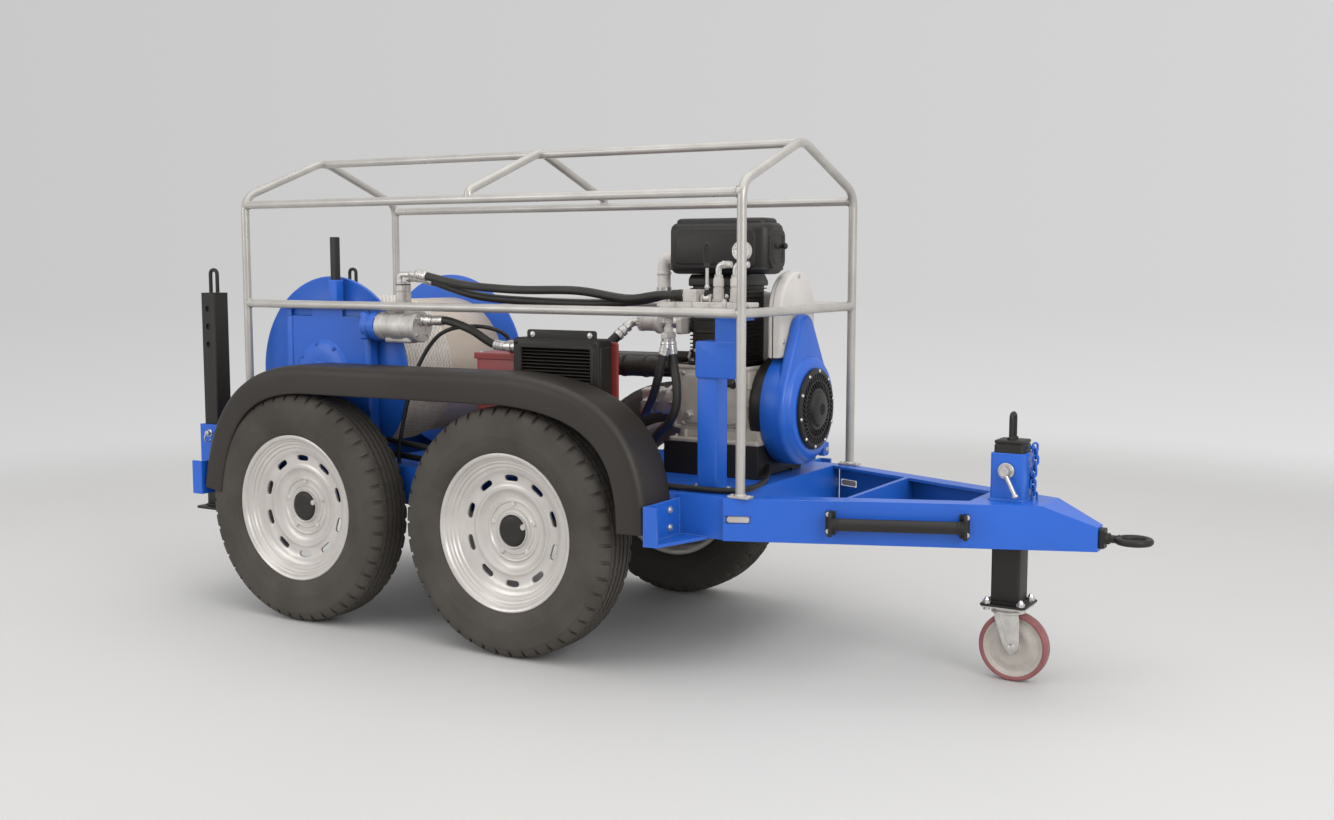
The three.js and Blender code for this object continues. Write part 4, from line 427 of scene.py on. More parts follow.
def softened(corners, bend, steps=4, closed=False):
    """Corners of a line eased by curves: (1-t)^2 start + 2t(1-t) corner + t^2 end, where start and end
    lie `bend` from the corner, or 48 parts in 100 of the edge where that is shorter."""
    corners = np.asarray(corners, float)
    line = np.vstack([corners[-1:], corners, corners[:1]]) if closed else corners
    middle = line[1:-1]
    back, forth = line[:-2] - middle, line[2:] - middle
    back_length = np.linalg.norm(back, axis=1, keepdims=True)
    forth_length = np.linalg.norm(forth, axis=1, keepdims=True)
    start = middle + back / back_length * np.minimum(bend, back_length * 0.48)
    end = middle + forth / forth_length * np.minimum(bend, forth_length * 0.48)
    t = np.linspace(0, 1, steps + 1)[None, :, None]
    eased = (1 - t) ** 2 * start[:, None] + 2 * t * (1 - t) * middle[:, None] + t ** 2 * end[:, None]
    eased = eased.reshape(-1, corners.shape[1])
    return eased if closed else np.vstack([corners[:1], eased, corners[-1:]])


def about(middle, half):
    """The span from half before a middle to half after it."""
    return middle - half, middle + half


def rectangle(u0, u1, v0, v1, corner=4, steps=4):
    """The outline of a rectangle whose corners are eased."""
    return softened([(u0, v0), (u1, v0), (u1, v1), (u0, v1)], corner, steps, closed=True)


def carried(outline, insets, levels, axis):
    """Copies of an outline along an axis, one at each level, each drawn in along its own normals by an
    inset: point - inset * outward, where outward is the heading to the next point turned by a quarter."""
    outline = np.asarray(outline, float)
    heading = unit(np.roll(outline, -1, axis=0) - np.roll(outline, 1, axis=0))
    following = np.roll(outline, -1, axis=0)
    area = np.sum(outline[:, 0] * following[:, 1] - following[:, 0] * outline[:, 1])
    outward = np.stack([heading[:, 1], -heading[:, 0]], -1) * np.sign(area)
    flat = outline[None] - np.asarray(insets, float)[:, None, None] * outward[None]
    height = np.broadcast_to(np.asarray(levels, float)[:, None], flat.shape[:2])
    order = {"x": (height, flat[..., 0], flat[..., 1]), "y": (flat[..., 0], height, flat[..., 1]),
             "z": (flat[..., 0], flat[..., 1], height)}[axis]
    return np.stack(order, -1)


def slab(outline, low, high, axis="z", edge=1.5):
    """An outline carried from low to high. At both ends it is drawn in by a quarter circle of radius
    `edge`: inset edge * (1 - sin q) at height edge * (1 - cos q)."""
    q = np.linspace(0, np.pi / 2, 4)
    inset = np.concatenate([edge * (1 - np.sin(q)), edge * (1 - np.sin(q[::-1]))])
    level = np.concatenate([low + edge * (1 - np.cos(q)), high - edge * (1 - np.cos(q[::-1]))])
    return skin(carried(outline, inset, level, axis), caps=True)


def hollow(outline, low, high, wall, axis="z", edge=1.2):
    """A tube of any outline: up the outside, over an eased rim, down the inside, which lies a wall away."""
    inset = [edge, 0, 0, edge, wall - edge, wall, wall, wall - edge]
    level = [low, low + edge, high - edge, high, high, high - edge, low + edge, low]
    return skin(carried(outline, inset, level, axis), round_rows=True)


def block(x, y, z, corner=3, axis="z", edge=1.5):
    """A box with eased corners, carried along one of its axes."""
    spans = {"x": (y, z, x), "y": (x, z, y), "z": (x, y, z)}[axis]
    return slab(rectangle(*spans[0], *spans[1], corner), *spans[2], axis=axis, edge=edge)


def square(x, y, half, low, high, corner, edge=1.5):
    """An upright square bar or plate round the middle (x, y)."""
    return block(about(x, half), about(y, half), (low, high), corner, edge=edge)


def collar(x, y, half, low, high, wall, corner, edge=1.2):
    """An upright square tube round the middle (x, y)."""
    return hollow(rectangle(*about(x, half), *about(y, half), corner), low, high, wall, edge=edge)


print("Outline makers: slab, hollow, block, square and collar")

# %% [markdown]
# Bolts and nuts are turned in six steps, which gives their hexagons. They sit in rows and circles, so one
# maker sets the same bolt at many places, and another works out the places on a circle.

# %% Bolts, nuts and their places


def hexagon_bolt(centre, axis, size=10, height=None):
    """A bolt head on its washer: a six-sided turned profile with a chamfered crown, over a round disc."""
    tall = size * 0.62 if height is None else height
    head = [(0, tall), (size * 0.82, tall), (size, tall * 0.85), (size, 1), (0, 1)]
    washer = [(0, 1.6), (size * 1.25, 1.6), (size * 1.32, 1.1), (size * 1.32, -0.5), (0, -0.5)]
    return [turned(head, centre, axis, 6), turned(washer, centre, axis, 20)]


def bolts(places, axis, size, height=None):
    """The same bolt at several places."""
    return [shell for place in places for shell in hexagon_bolt(place, axis, size, height)]


def nut(centre, axis, size, height):
    """A six-sided nut, chamfered above and below: a turned profile in six steps."""
    low, high = height * 0.14, height * 0.86
    profile = [(0, 0), (size * 0.87, 0), (size, low), (size, high), (size * 0.87, height), (0, height)]
    return turned(profile, centre, axis, 6)


def around(centre, axis, radius, count, start=0.0):
    """Places on a circle: its two coordinates across the axis get radius * cos and radius * sin."""
    first, second = {"x": (1, 2), "y": (0, 2)}[axis]
    angle = start + np.arange(count) * 2 * np.pi / count
    places = np.tile(np.asarray(centre, float), (count, 1))
    places[:, first] += radius * np.cos(angle)
    places[:, second] += radius * np.sin(angle)
    return places


print("A circle of four places:", around((0, 0, 0), "x", 1, 4).round(1).tolist())

# %% [markdown]
# Some shells are made flat and then turned and shifted into place, and some are joined. Where a hole goes
# through a wall, Blender's Boolean cuts it, which is quicker to write than a patch round each hole.

# %% Moving, joining and cutting shells
SHELL_SEAM, PIECE_SEAM = 0.001, 0.00002


def moved(shell, angle=0.0, axis="z", shift=(0, 0, 0)):
    """A shell turned by an angle round an axis through zero, then shifted. Each point p becomes
    p cos a + (k x p) sin a + k (k . p) (1 - cos a) + shift, where k is the axis."""
    points, faces = shell
    k = directions(axis)[2]
    turned_points = (points * math.cos(angle) + np.cross(k, points) * math.sin(angle)
                     + np.outer(points @ k, k) * (1 - math.cos(angle)))
    return turned_points + np.asarray(shift, float), faces


def merged(shells):
    """Several shells as one: their points in a row, and their faces counted on from the points before."""
    starts = np.cumsum([0] + [len(points) for points, _ in shells])
    faces = [[index + start for index in face] for (_, own), start in zip(shells, starts) for face in own]
    return np.vstack([points for points, _ in shells]), faces


def seamless(mesh, seam):
    """Merge the points of a mesh that lie nearer to each other than `seam`, and turn its faces outwards."""
    work = bmesh.new()
    work.from_mesh(mesh)
    bmesh.ops.remove_doubles(work, verts=work.verts, dist=seam)
    bmesh.ops.recalc_face_normals(work, faces=work.faces)
    work.to_mesh(mesh)
    work.free()


def cut_out(shell, *cutters):
    """What is left of a shell when others are taken out of it, by Blender's Boolean, read back as arrays."""
    things = []
    for name, (points, faces) in (("whole", shell), ("cutters", merged(cutters))):
        mesh = bpy.data.meshes.new(name)
        mesh.from_pydata(points.tolist(), [], faces)
        seamless(mesh, SHELL_SEAM)
        things.append(stand(name, mesh))
    whole, tool = things
    modifier = whole.modifiers.new("cut", "BOOLEAN")
    modifier.operation = "DIFFERENCE"
    modifier.solver = "EXACT"
    modifier.object = tool
    left = whole.evaluated_get(bpy.context.evaluated_depsgraph_get()).to_mesh()
    points = np.empty(len(left.vertices) * 3)
    left.vertices.foreach_get("co", points)
    faces = [list(polygon.vertices) for polygon in left.polygons]
    for thing in things:
        bpy.data.meshes.remove(thing.data)
    return points.reshape(-1, 3), faces


print("Cuts merge points nearer than", SHELL_SEAM, "mm")

# %% [markdown]
# Shells become one object here. Its points are moved from the drawing to the shared frame, doubles at
# seams and poles are merged, faces are turned outwards, and smooth shading stops at sharp edges.
# The object stays at the origin with its place in its mesh, as the solids of the frame have theirs.

# %% From shells to a piece


def piece(name, groups, node=None, body="chassis", crease=34, uv=None):
    """One object of the shells in each finish's group, riding on a body and standing for a node."""
    finishes = list(groups)
    points, faces = merged([shell for shells in groups.values() for shell in shells])
    slots = [slot for slot, shells in enumerate(groups.values()) for shell in shells for _ in shell[1]]
    mesh = bpy.data.meshes.new(name)
    mesh.from_pydata(placed(points).tolist(), [], faces)
    for material in finishes:
        mesh.materials.append(material)
    mesh.polygons.foreach_set("material_index", slots)
    if uv is not None:
        corner_points = np.empty(len(mesh.loops), dtype=np.int32)
        mesh.loops.foreach_get("vertex_index", corner_points)
        mesh.uv_layers.new(name="run").data.foreach_set("uv", uv[corner_points].ravel())
    seamless(mesh, PIECE_SEAM)
    mesh.shade_smooth()
    mesh.set_sharp_from_angle(angle=math.radians(crease))
    thing = stand(name, mesh)
    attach(thing, body)
    if node:
        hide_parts(node)
    return thing


print("A piece merges points nearer than", PIECE_SEAM, "m")

# %% [markdown]
# Six hoses join the winch's motor, the cooler, the control valve and the pump. A hose is a fixed length
# of something stiff that bends in wide arcs, so each is one smooth curve through a few chosen points,
# leaving its port straight. A curve object with a round bevel keeps that line.
# Steel ferrules are crimped on the ends: short turned bodies carried along the hose's own line. The drain
# hose has none and the relief hose one; the supply and return hoses end in a sleeve of the hose's cover.

# %% Hoses and their crimped ends
FORWARD, INWARD, UPWARD, DOWNWARD = (1, 0, 0), (0, 1, 0), (0, 0, 1), (0, 0, -1)
STRAIGHT = 12


def flowing(points, count):
    """A centripetal Catmull-Rom curve with evenly spaced points. Knots lie the square root of the distance
    apart. A stretch runs as a cubic from p1 to p2, with slopes taken from both neighbours."""
    p = np.asarray(points, float)
    p = np.vstack([2 * p[0] - p[1], p, 2 * p[-1] - p[-2]])
    d = np.sqrt(np.linalg.norm(np.diff(p, axis=0), axis=1))[:, None]
    p0, p1, p2, p3 = p[:-3], p[1:-2], p[2:-1], p[3:]
    d0, d1, d2 = d[:-2], d[1:-1], d[2:]
    leave = ((p1 - p0) / d0 - (p2 - p0) / (d0 + d1) + (p2 - p1) / d1) * d1
    arrive = ((p2 - p1) / d1 - (p3 - p1) / (d1 + d2) + (p3 - p2) / d2) * d1
    t = np.linspace(0, 1, 24, endpoint=False)[None, :, None]
    fine = ((2 * t ** 3 - 3 * t ** 2 + 1) * p1[:, None] + (t ** 3 - 2 * t ** 2 + t) * leave[:, None]
            + (3 * t ** 2 - 2 * t ** 3) * p2[:, None] + (t ** 3 - t ** 2) * arrive[:, None])
    fine = np.vstack([fine.reshape(-1, 3), p[-2]])
    run = np.concatenate([[0], np.cumsum(np.linalg.norm(np.diff(fine, axis=0), axis=1))])
    even = np.linspace(0, run[-1], count)
    return np.stack([np.interp(even, run, fine[:, i]) for i in range(3)], -1)


HOSES = {
    "supply_hose": (12, [(-60.4, -320, 1034), (100, -312, 1006), (280, -302, 993), (490, -293, 992),
                         (655, -289, 972), (745, -288, 983), (823.7, -288, 983)], FORWARD, FORWARD),
    "return_hose": (12, [(-60.4, -288, 1020), (132, -285, 974), (317, -279, 961), (559, -268, 958),
                         (690, -261, 970), (750, -259, 983), (823.7, -259.5, 983)], FORWARD, FORWARD),
    "cooler_hose": (12, [(9.6, -332, 902), (60, -332, 902), (140, -325, 878), (200, -305, 840),
                         (243.7, -297, 833)], FORWARD, FORWARD),
    "drain_hose": (6, [(-150, -310, 471.3), (-148, -310, 520), (-84, -310, 736), (-8, -312, 842),
                       (40, -312, 872), (110, -308, 886), (172, -278, 882), (204, -240, 858),
                       (210, -225, 808.3)], UPWARD, DOWNWARD),
    "pressure_hose": (12, [(766, -287, 861.7), (754, -287, 812), (728, -270, 750), (682, -215, 706),
                           (620, -140, 664), (560, -60, 640), (520, 0, 652), (513.7, 46.7, 660)],
                      DOWNWARD, INWARD),
    "relief_hose": (12, [(766, -261, 861.7), (775, -262, 800), (789, -270, 742), (788, -270, 690),
                         (757, -250, 644), (692, -200, 604), (632, -160, 548), (605, -142, 471.3)],
                    DOWNWARD, DOWNWARD),
}
CRIMP = [(0, 0.2), (0, 1.06), (4, 1.22), (9, 1.22), (9.6, 1.1), (12, 1.1), (12.6, 1.25), (17, 1.25),
         (17.6, 1.12), (20, 1.12), (20.6, 1.25), (25, 1.25), (25.6, 1.12), (28, 1.12), (29, 1.25),
         (36, 1.22), (38, 1.02), (38, 0.2)]


def crimped(line, width, across):
    """A ferrule on the first stretch of a hose: its radius is a share of the hose's, by distance."""
    run = np.concatenate([[0], np.cumsum(np.linalg.norm(np.diff(line, axis=0), axis=1))])
    far, share = np.array(CRIMP).T
    far = far * (0.6 if width < 10 else 1.0) + np.arange(len(far)) * 0.01
    return bar(np.stack([np.interp(far, run, line[:, i]) for i in range(3)], -1), share * width, 20, across)


for hose_name, (width, route, leave, arrive) in HOSES.items():
    route = np.asarray(route, float)
    inner = [route[0] + np.array(leave) * STRAIGHT, *route[1:-1], route[-1] - np.array(arrive) * STRAIGHT]
    line = np.vstack([route[:1], flowing(inner, 36), route[-1:]])
    crosswise, other_way = ("y" if abs(way[1]) < 0.5 else "z" for way in (leave, arrive))
    if hose_name != "drain_hose":
        piece(hose_name + "_first_ferrule", {zinc_plate: [crimped(line, width, crosswise)]})
    if hose_name not in ("drain_hose", "relief_hose"):
        sleeve = hose_cover if hose_name in ("supply_hose", "return_hose") else zinc_plate
        piece(hose_name + "_last_ferrule", {sleeve: [crimped(line[::-1], width, other_way)]})
    curve = bpy.data.curves.new(hose_name + "_run", "CURVE")
    curve.dimensions = "3D"
    curve.bevel_depth = width / 1000
    curve.bevel_resolution = 5
    curve.use_fill_caps = True
    spline = curve.splines.new("POLY")
    spline.points.add(len(line) - 1)
    metres = placed(line)
    spline.points.foreach_set("co", np.hstack([metres, np.ones((len(line), 1))]).ravel())
    curve.materials.append(hose_cover)
    run = stand(hose_name + "_run", curve)
    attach(run, "chassis")
    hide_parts(hose_name)

# %% [markdown]
# Four tyres carry the machine. A tyre is a section turned round the axle, so the section comes first: a
# row of radii and widths from bead to bead, closed by the lining inside. The tread is cut by moving each
# point towards the axle where a groove or a sipe runs, which a displacement texture could also do, but
# here the sharp groove walls need points exactly on their edges.

# %% Tyres
PITCHES = 46
SIPE = np.array([0.0, 0.1, 0.112, 0.3, 0.5, 0.7, 0.888, 0.9])
SECTION = [(205, 40), (204.6, 53), (211, 56.5), (219, 58.5), (222, 62), (232, 68), (246, 72.6), (262, 74.6),
           (263.4, 75), (266, 74.9), (282, 75), (300, 73.6), (312, 71), (315, 70.6), (317, 69), (322, 67.4),
           (328, 64.4), (334, 60), (338, 55), (340.2, 50), (341.2, 46), (341.4, 44.6), (341.5, 43),
           (342, 40), (342.4, 34), (342.5, 32.6), (342.6, 31.6), (342.6, 25.4), (342.7, 24.4), (342.8, 20),
           (342.9, 14), (343, 12.4), (343, 11.4), (343, 5.4), (343, 4.4), (343, 0)]
GROOVES = [(28.5, 3.6, 9), (8.4, 3.5, 9), (43.8, 1.3, 5)]


def tyre_shell(centre, hand):
    """Section radius and width turned round the axle, less the tread's depth. Depth is 9 mm in rings where
    the width is near a groove's middle, and up to 9 mm in sipes across the shoulder, at every pitch."""
    half = np.array(SECTION, float)
    radius = np.concatenate([half[:, 0], half[-2::-1, 0]])
    side = np.concatenate([-half[:, 1], half[-2::-1, 1]])
    lining = np.array([(214, 38), (232, 54), (300, 58), (325, 40), (328, 0), (325, -40), (300, -58),
                       (232, -54), (214, -38)], float)
    angle = ((np.arange(PITCHES)[:, None] + SIPE[None]) / PITCHES * 2 * np.pi).ravel()
    phase = np.tile(SIPE, PITCHES)[:, None]
    width = np.abs(side)[None]
    depth = np.zeros((len(angle), len(side)))
    for middle, spread, cut in GROOVES:
        depth = np.maximum(depth, cut * (np.abs(width - middle) < spread))
    stagger = np.where(side > 0, 0.5, 0.0)[None]
    inside_sipe = np.abs((phase + stagger + 0.5) % 1 - 0.5) < 0.105
    shoulder = np.interp(width, [44, 47, 58, 62, 66, 69], [5, 8, 9, 7, 4, 0])
    depth = np.maximum(depth, inside_sipe * shoulder * (width > 43) * (radius[None] > 305))
    ribs = np.abs((phase * 2 + stagger + 0.5) % 1 - 0.5) < 0.09
    depth = np.maximum(depth, 2.2 * ribs * (width < 43) * (radius[None] > 338))
    swell = 0.8 * (np.abs(width - 68) < 4) * (~inside_sipe) * (radius[None] > 305)
    inside_radius, inside_side = (np.broadcast_to(part, (len(angle), len(lining))) for part in lining.T)
    shape = np.hstack([radius[None] - depth, inside_radius])
    across = np.hstack([side[None] * (1 + swell * np.sign(width) * 0.01), inside_side])
    points = np.stack([centre[0] + shape * np.cos(angle)[:, None], centre[1] + hand * across,
                       centre[2] + shape * np.sin(angle)[:, None]], -1)
    return skin(points, round_rows=True)


WHEELS = {f"{end}_{side}": ((way * 387, -hand * 450, 343), hand)
          for end, way in (("front", 1), ("rear", -1)) for side, hand in (("right", 1), ("left", -1))}
for wheel, (centre, hand) in WHEELS.items():
    made = piece("tread_" + wheel, {tyre_rubber: [tyre_shell(centre, hand)]}, "tyre_" + wheel,
                 "wheel_" + wheel, crease=28)
print("A tyre has", len(made.data.polygons), "faces")

# %% [markdown]
# The pressed steel wheels are deep, with a rolled lip, a stepped barrel and a disc with ten oblong
# holes. Cutting holes by a Boolean leaves ragged faces, so each tenth of the disc is a grid instead:
# one parameter runs round the hole, the other from the edge of the tenth in to the hole's rim, and the
# ten join exactly. The rings of the disc and the barrel are a turned profile on both sides of it.

# %% The disc of a wheel
DISC = np.array([(0, -13), (43.8, -13), (44.5, -17), (47.5, -18), (49, -12), (53, -8.5), (58, -9),
                 (61, -11.5), (65, -11.5), (68, -8), (77, -8), (80, -12), (84, -13), (88, -9.5), (95, -9.5),
                 (105, -13), (112, -19), (116, -22.5), (121, -23), (125, -20), (130, -19.5)], float)
BAND = np.array([(130, -19.5), (138, -19), (150, -20.5), (158, -23), (163, -27)], float)
BARREL = np.array([(163, -27), (168, -31), (176, -33), (179, -37), (187, -38.5), (190, -43), (196, -44.5),
                   (199, -49), (203, -51), (206, -57), (210, -60), (214.5, -61), (217.6, -59.5), (218, -57),
                   (216, -55), (207, -54), (204, -51), (203.8, 51), (207, 54), (217, 56), (217, 60),
                   (214, 61), (204, 59), (199, 50), (198.5, -30), (192, -28), (180, -26), (168, -23),
                   (163, -20)], float)
BACK_DISC = np.array([(130, -12.5), (120, -14), (104, -8), (90, -4), (60, -2), (32, -2), (32, 52), (29, 55),
                      (0, 55)], float)
TENTHS, ARC_STEPS, SIDE_STEPS = 10, 8, 4
OUTER_EDGE, HOLE_RING, SQUARENESS = (146.5, 16.5), 146, 3.2


def holed_band(centre, hand):
    """Ten patches between radius 130 and 163. Round the hole, a stadium of 44 by 17 mm at radius 146; at
    the patch's edge, its own outline with as many points. Between both, radius and angle are mixed."""
    span = np.pi / TENTHS
    middle, half = OUTER_EDGE
    u = np.linspace(-1, 1, ARC_STEPS + 1)[:-1]
    v = np.linspace(-1, 1, SIDE_STEPS + 1)[:-1]
    edge_turn = np.concatenate([u, np.ones(SIDE_STEPS), -u, -np.ones(SIDE_STEPS)]) * span
    edge_radius = np.concatenate([-np.ones(ARC_STEPS), v, np.ones(ARC_STEPS), -v]) * half + middle
    direction = np.arctan2((edge_radius - middle) / half, edge_turn / span)
    cosine, sine = np.cos(direction), np.sin(direction)
    grow = (np.abs(cosine) ** SQUARENESS + np.abs(sine) ** SQUARENESS) ** (-1 / SQUARENESS)
    hole_turn, hole_radius = cosine * grow * 22.0 / HOLE_RING, HOLE_RING + sine * grow * 8.5
    mix = np.array([0, 0.45, 0.8, 0.94, 1.0])[:, None]
    radius = edge_radius * (1 - mix) + hole_radius * mix
    angle = edge_turn * (1 - mix) + hole_turn * mix
    sheet = np.interp(radius, BAND[:, 0], BAND[:, 1])
    front = sheet + np.array([0, 0, 0, 0.3, 1.6])[:, None]
    rear = sheet + np.interp(radius, [130, 163], [7.5, 7.0])
    tenth = np.arange(TENTHS)[:, None, None] * 2 * span + span + np.vstack([angle, angle[::-1]])[None]
    reach = np.broadcast_to(np.vstack([radius, radius[::-1]])[None], tenth.shape)
    side = np.broadcast_to(np.vstack([front, rear[::-1]])[None], tenth.shape)
    points = np.stack([centre[0] + reach * np.cos(tenth), centre[1] + hand * side,
                       centre[2] + reach * np.sin(tenth)], -1)
    return merged([skin(patch) for patch in points])


def wheel_ring(profile, centre, hand):
    """A wheel's profile of (radius, side) turned round the axle in the same steps as the holed band."""
    steps = TENTHS * ARC_STEPS
    radius, side = profile.T
    angle = np.arange(steps) * 2 * np.pi / steps
    points = np.stack([centre[0] + radius[:, None] * np.cos(angle),
                       np.broadcast_to(centre[1] + hand * side[:, None], (len(radius), steps)),
                       centre[2] + radius[:, None] * np.sin(angle)], -1)
    return skin(points)


print("A disc has", TENTHS, "holes")

# %% [markdown]
# Each wheel also has its hub's cap, a zinc ring round it, five nuts on their seats and a key. They are
# turned profiles set on the disc's face, and one loop builds all four wheels from the same numbers.

# %% Wheels put together
HUB = [(0, 20.5), (24, 21.5), (36, 21), (40, 19), (43, 16), (43.4, 12), (43.4, 6), (0, 6)]
HUB_RING = [(43.6, 10), (43.6, 16), (45.4, 17.6), (48, 16.5), (49, 12), (49, 8), (43.6, 8)]
SEAT = [(0, 6), (5, 6), (8, 3.5), (9, -3), (0, -3)]
KEY = [(0, 17), (6, 17), (8.5, 15), (9, 0), (0, 0)]
NUT_RING, NUT_START, KEY_RING, KEY_START = 71.5, math.radians(20), 40, 0.35

for wheel, (centre, hand) in WHEELS.items():
    axis = (0, -hand, 0)
    seats = around((centre[0], centre[1] - hand * 8, centre[2]), "y", NUT_RING, 5, NUT_START)
    key = around((centre[0], centre[1] - hand * 6, centre[2]), "y", KEY_RING, 1, KEY_START)[0]
    silver = [wheel_ring(DISC, centre, hand), holed_band(centre, hand), wheel_ring(BARREL, centre, hand),
              wheel_ring(BACK_DISC, centre, hand), *[turned(SEAT, seat, axis, 14) for seat in seats]]
    made = piece("wheel_disc_" + wheel, {
        silver_lacquer: silver, black_powder_coat: [turned(HUB, centre, axis, 48)],
        zinc_plate: [turned(HUB_RING, centre, axis, 48), turned(KEY, key, axis, 18)]},
        "rim_" + wheel, "wheel_" + wheel)
print("A wheel has", len(made.data.polygons), "faces")

# %% [markdown]
# The fenders are single bent strips of steel with a deep, rounded skirt on the outside. Their side view
# is two cubic curves with a level run between them. The strip's section is carried along that line: at
# each point the section lies across the line, with its depth pointing to the wheel's side of it.

# %% Fenders


def cubic(start, reach, shares, steps=26):
    """A cubic Bezier curve in the plane: x from `start` by shares of `reach`, z from 384 up by 391."""
    x, z = np.array([(start + reach * a, 384 + 391 * b) for a, b in shares]).T
    t = np.linspace(0, 1, steps)
    weights = np.stack([(1 - t) ** 3, 3 * t * (1 - t) ** 2, 3 * t ** 2 * (1 - t), t ** 3])
    return np.stack([x @ weights, z @ weights], -1)


def fender_shell(hand):
    """The section, across and deep, carried along the side view: line + deep * inward, y = across."""
    line = np.vstack([cubic(-755, 210, [(0, 0), (0.17, 0.62), (0.72, 0.97), (2, 0.99)]),
                      cubic(843, -225, [(2, 1), (0.62, 0.97), (0, 0.68), (0, 0)])])
    heading = unit(np.gradient(line, axis=0))
    inward = np.stack([heading[:, 1], -heading[:, 0]], -1)
    outer = softened([(380, 14), (380, 0), (530, 0), (530, 80), (524, 84)], 30, 8)
    inner = softened([(522, 76), (525, 70), (525, 5), (385, 5), (385, 14)], 26, 8)
    section = np.vstack([outer, inner])
    across, deep = section.T
    x = line[:, :1] + inward[:, :1] * deep
    z = line[:, 1:] + inward[:, 1:] * deep
    y = np.broadcast_to(-hand * across[None], x.shape)
    return skin(np.stack([x, y, z], -1), caps=True)


for side, hand in (("right", 1), ("left", -1)):
    piece("fender_strip_" + side, {fender_coat: [fender_shell(hand)]}, "fender_" + side)
print("Fenders made")

# %% [markdown]
# The canopy's frame is bent steel tube, 25 mm thick. A path with eased corners is the whole design: the
# two hoops, the ridge, the eaves and the side rails. Curves with a bevel would do, but as mesh the tubes
# can be joined into one piece with their foot plates, welds and bolts.

# %% Canopy frame
TUBE, HALF = 12.5, 348
REAR, MIDDLE, FRONT = -728, 157, 1023
RAIL, EAVE, KNEE, TOP = 941, 1246, 1270, 1399
BEAD = [(TUBE + 5, 477), (TUBE + 3.5, 479.5), (TUBE, 482), (TUBE - 4, 482), (TUBE - 4, 476), (TUBE + 5, 476)]
RIM = [(TUBE, -17), (TUBE + 2.4, -15), (TUBE + 2.4, -12), (TUBE, -12)]


def hoop(place, foot, bend=45):
    """A tube up one side, over the ridge and down the other, with eased corners."""
    corners = [(place, -HALF, foot), (place, -HALF, KNEE), (place, 0, TOP), (place, HALF, KNEE),
               (place, HALF, foot)]
    return bar(softened(corners, bend, 10), TUBE, 20, "x")


for name, place in (("rear", REAR), ("front", FRONT)):
    tubes = [hoop(place, 476)]
    for side in (-HALF, HALF):
        tubes += [block(about(place, 31), about(side, 17), (471, 477.3), 5),
                  turned(BEAD, (place, side, 0), "z", 24)]
    if name == "front":
        tubes.append(bar([(place, side, RAIL) for side in (-HALF, 0, HALF)], TUBE, 20, "z"))
    screws = bolts([(place + along, side, 477) for side in (-HALF, HALF) for along in (-23.5, 23.5)], "z", 5)
    piece(name + "_hoop_tube", {canopy_enamel: tubes, zinc_plate: screws}, name + "_hoop")
for side, hand in (("right", -1), ("left", 1)):
    for level, node in ((RAIL, "side_rail_"), (EAVE, "eave_rail_")):
        rail = bar([(place, hand * HALF, level) for place in (REAR, MIDDLE, FRONT)], TUBE, 20)
        rims = [turned(RIM, (place, hand * HALF, level), axis, 20, closed=True)
                for place, axis in ((REAR, "-x"), (FRONT, "x"))]
        piece(node + "tube_" + side, {canopy_enamel: [rail, *rims]}, node + side)
ridge_level = TOP - 45 * (TOP - KNEE) / math.hypot(HALF, TOP - KNEE) / 2
ridge = bar([(place, 0, ridge_level) for place in (REAR, MIDDLE, FRONT)], TUBE, 20)
piece("ridge_tube", {canopy_enamel: [hoop(MIDDLE, EAVE, 14), ridge]}, "ridge_truss")
print("Canopy ridge at", round(ridge_level), "mm")

# %% [markdown]
# The winch drum has two dished flanges and a smooth core. Both are turned profiles. The rope lies on it
# in one layer: a helix, which is a point going round while it moves along. Its strands are too many to
# model, so a wave along the rope's own length and round it, from a UV map, draws the lay of the strands
# as relief, and darkens the grooves between them as painted shade.

# %% The rope's strands
LAY, STRANDS, STRAND_DEPTH = 0.016, 3.0, 0.0009
laid_rope = finish("laid_rope", ("#cfcac3", "#c0bab2"), 0.62, patch=30, grain=1, relief=0.1, edge=0.5)
tree = laid_rope.node_tree
shader = tree.nodes["Principled BSDF"]
run_map = shade(tree, "UVMap", uv_map="run")
parts = shade(tree, "SeparateXYZ", None, {0: run_map})
lay = shade(tree, "Math", {1: 1 / LAY}, {0: parts.outputs["X"]}, operation="MULTIPLY")
turns_round = shade(tree, "Math", {1: STRANDS}, {0: parts.outputs["Y"]}, operation="MULTIPLY")
both = shade(tree, "Math", None, {0: lay, 1: turns_round}, operation="ADD")
half_turns = shade(tree, "Math", {1: math.pi}, {0: both}, operation="MULTIPLY")
wave = shade(tree, "Math", None, {0: half_turns}, operation="SINE")
strand = shade(tree, "Math", None, {0: wave}, operation="ABSOLUTE")
ridges = shade(tree, "Bump", {"Strength": 1.0, "Distance": STRAND_DEPTH}, {"Height": strand})
tree.links.new(ridges.outputs[0], shader.inputs["Normal"])
# Painted shade: the rope's colour is darkened to 68 parts in 100 in the grooves between its strands.
dark = shade(tree, "MapRange", {"From Max": 0.55, "To Min": 0.68, "To Max": 1.0}, {"Value": strand})
ropes_colour = shader.inputs["Base Color"].links[0].from_socket
painted_groove_shade = shade(tree, "MixRGB", {"Fac": 1.0}, {"Color1": ropes_colour, "Color2": dark},
                 blend_type="MULTIPLY")
tree.links.new(painted_groove_shade.outputs[0], shader.inputs["Base Color"])
print("A strand passes every", LAY * 1000, "mm along the rope")

# %% [markdown]
# The drum's flanges have a rolled rim and are pressed in a little in the middle. The rope's helix starts
# at one flange, and each round moves it on by a little more than its own thickness.

# %% Drum and rope
DRUM = (-427, 0, 730)
CORE, FLANGE, ROPE, PITCH = 220, 280, 6.5, 14


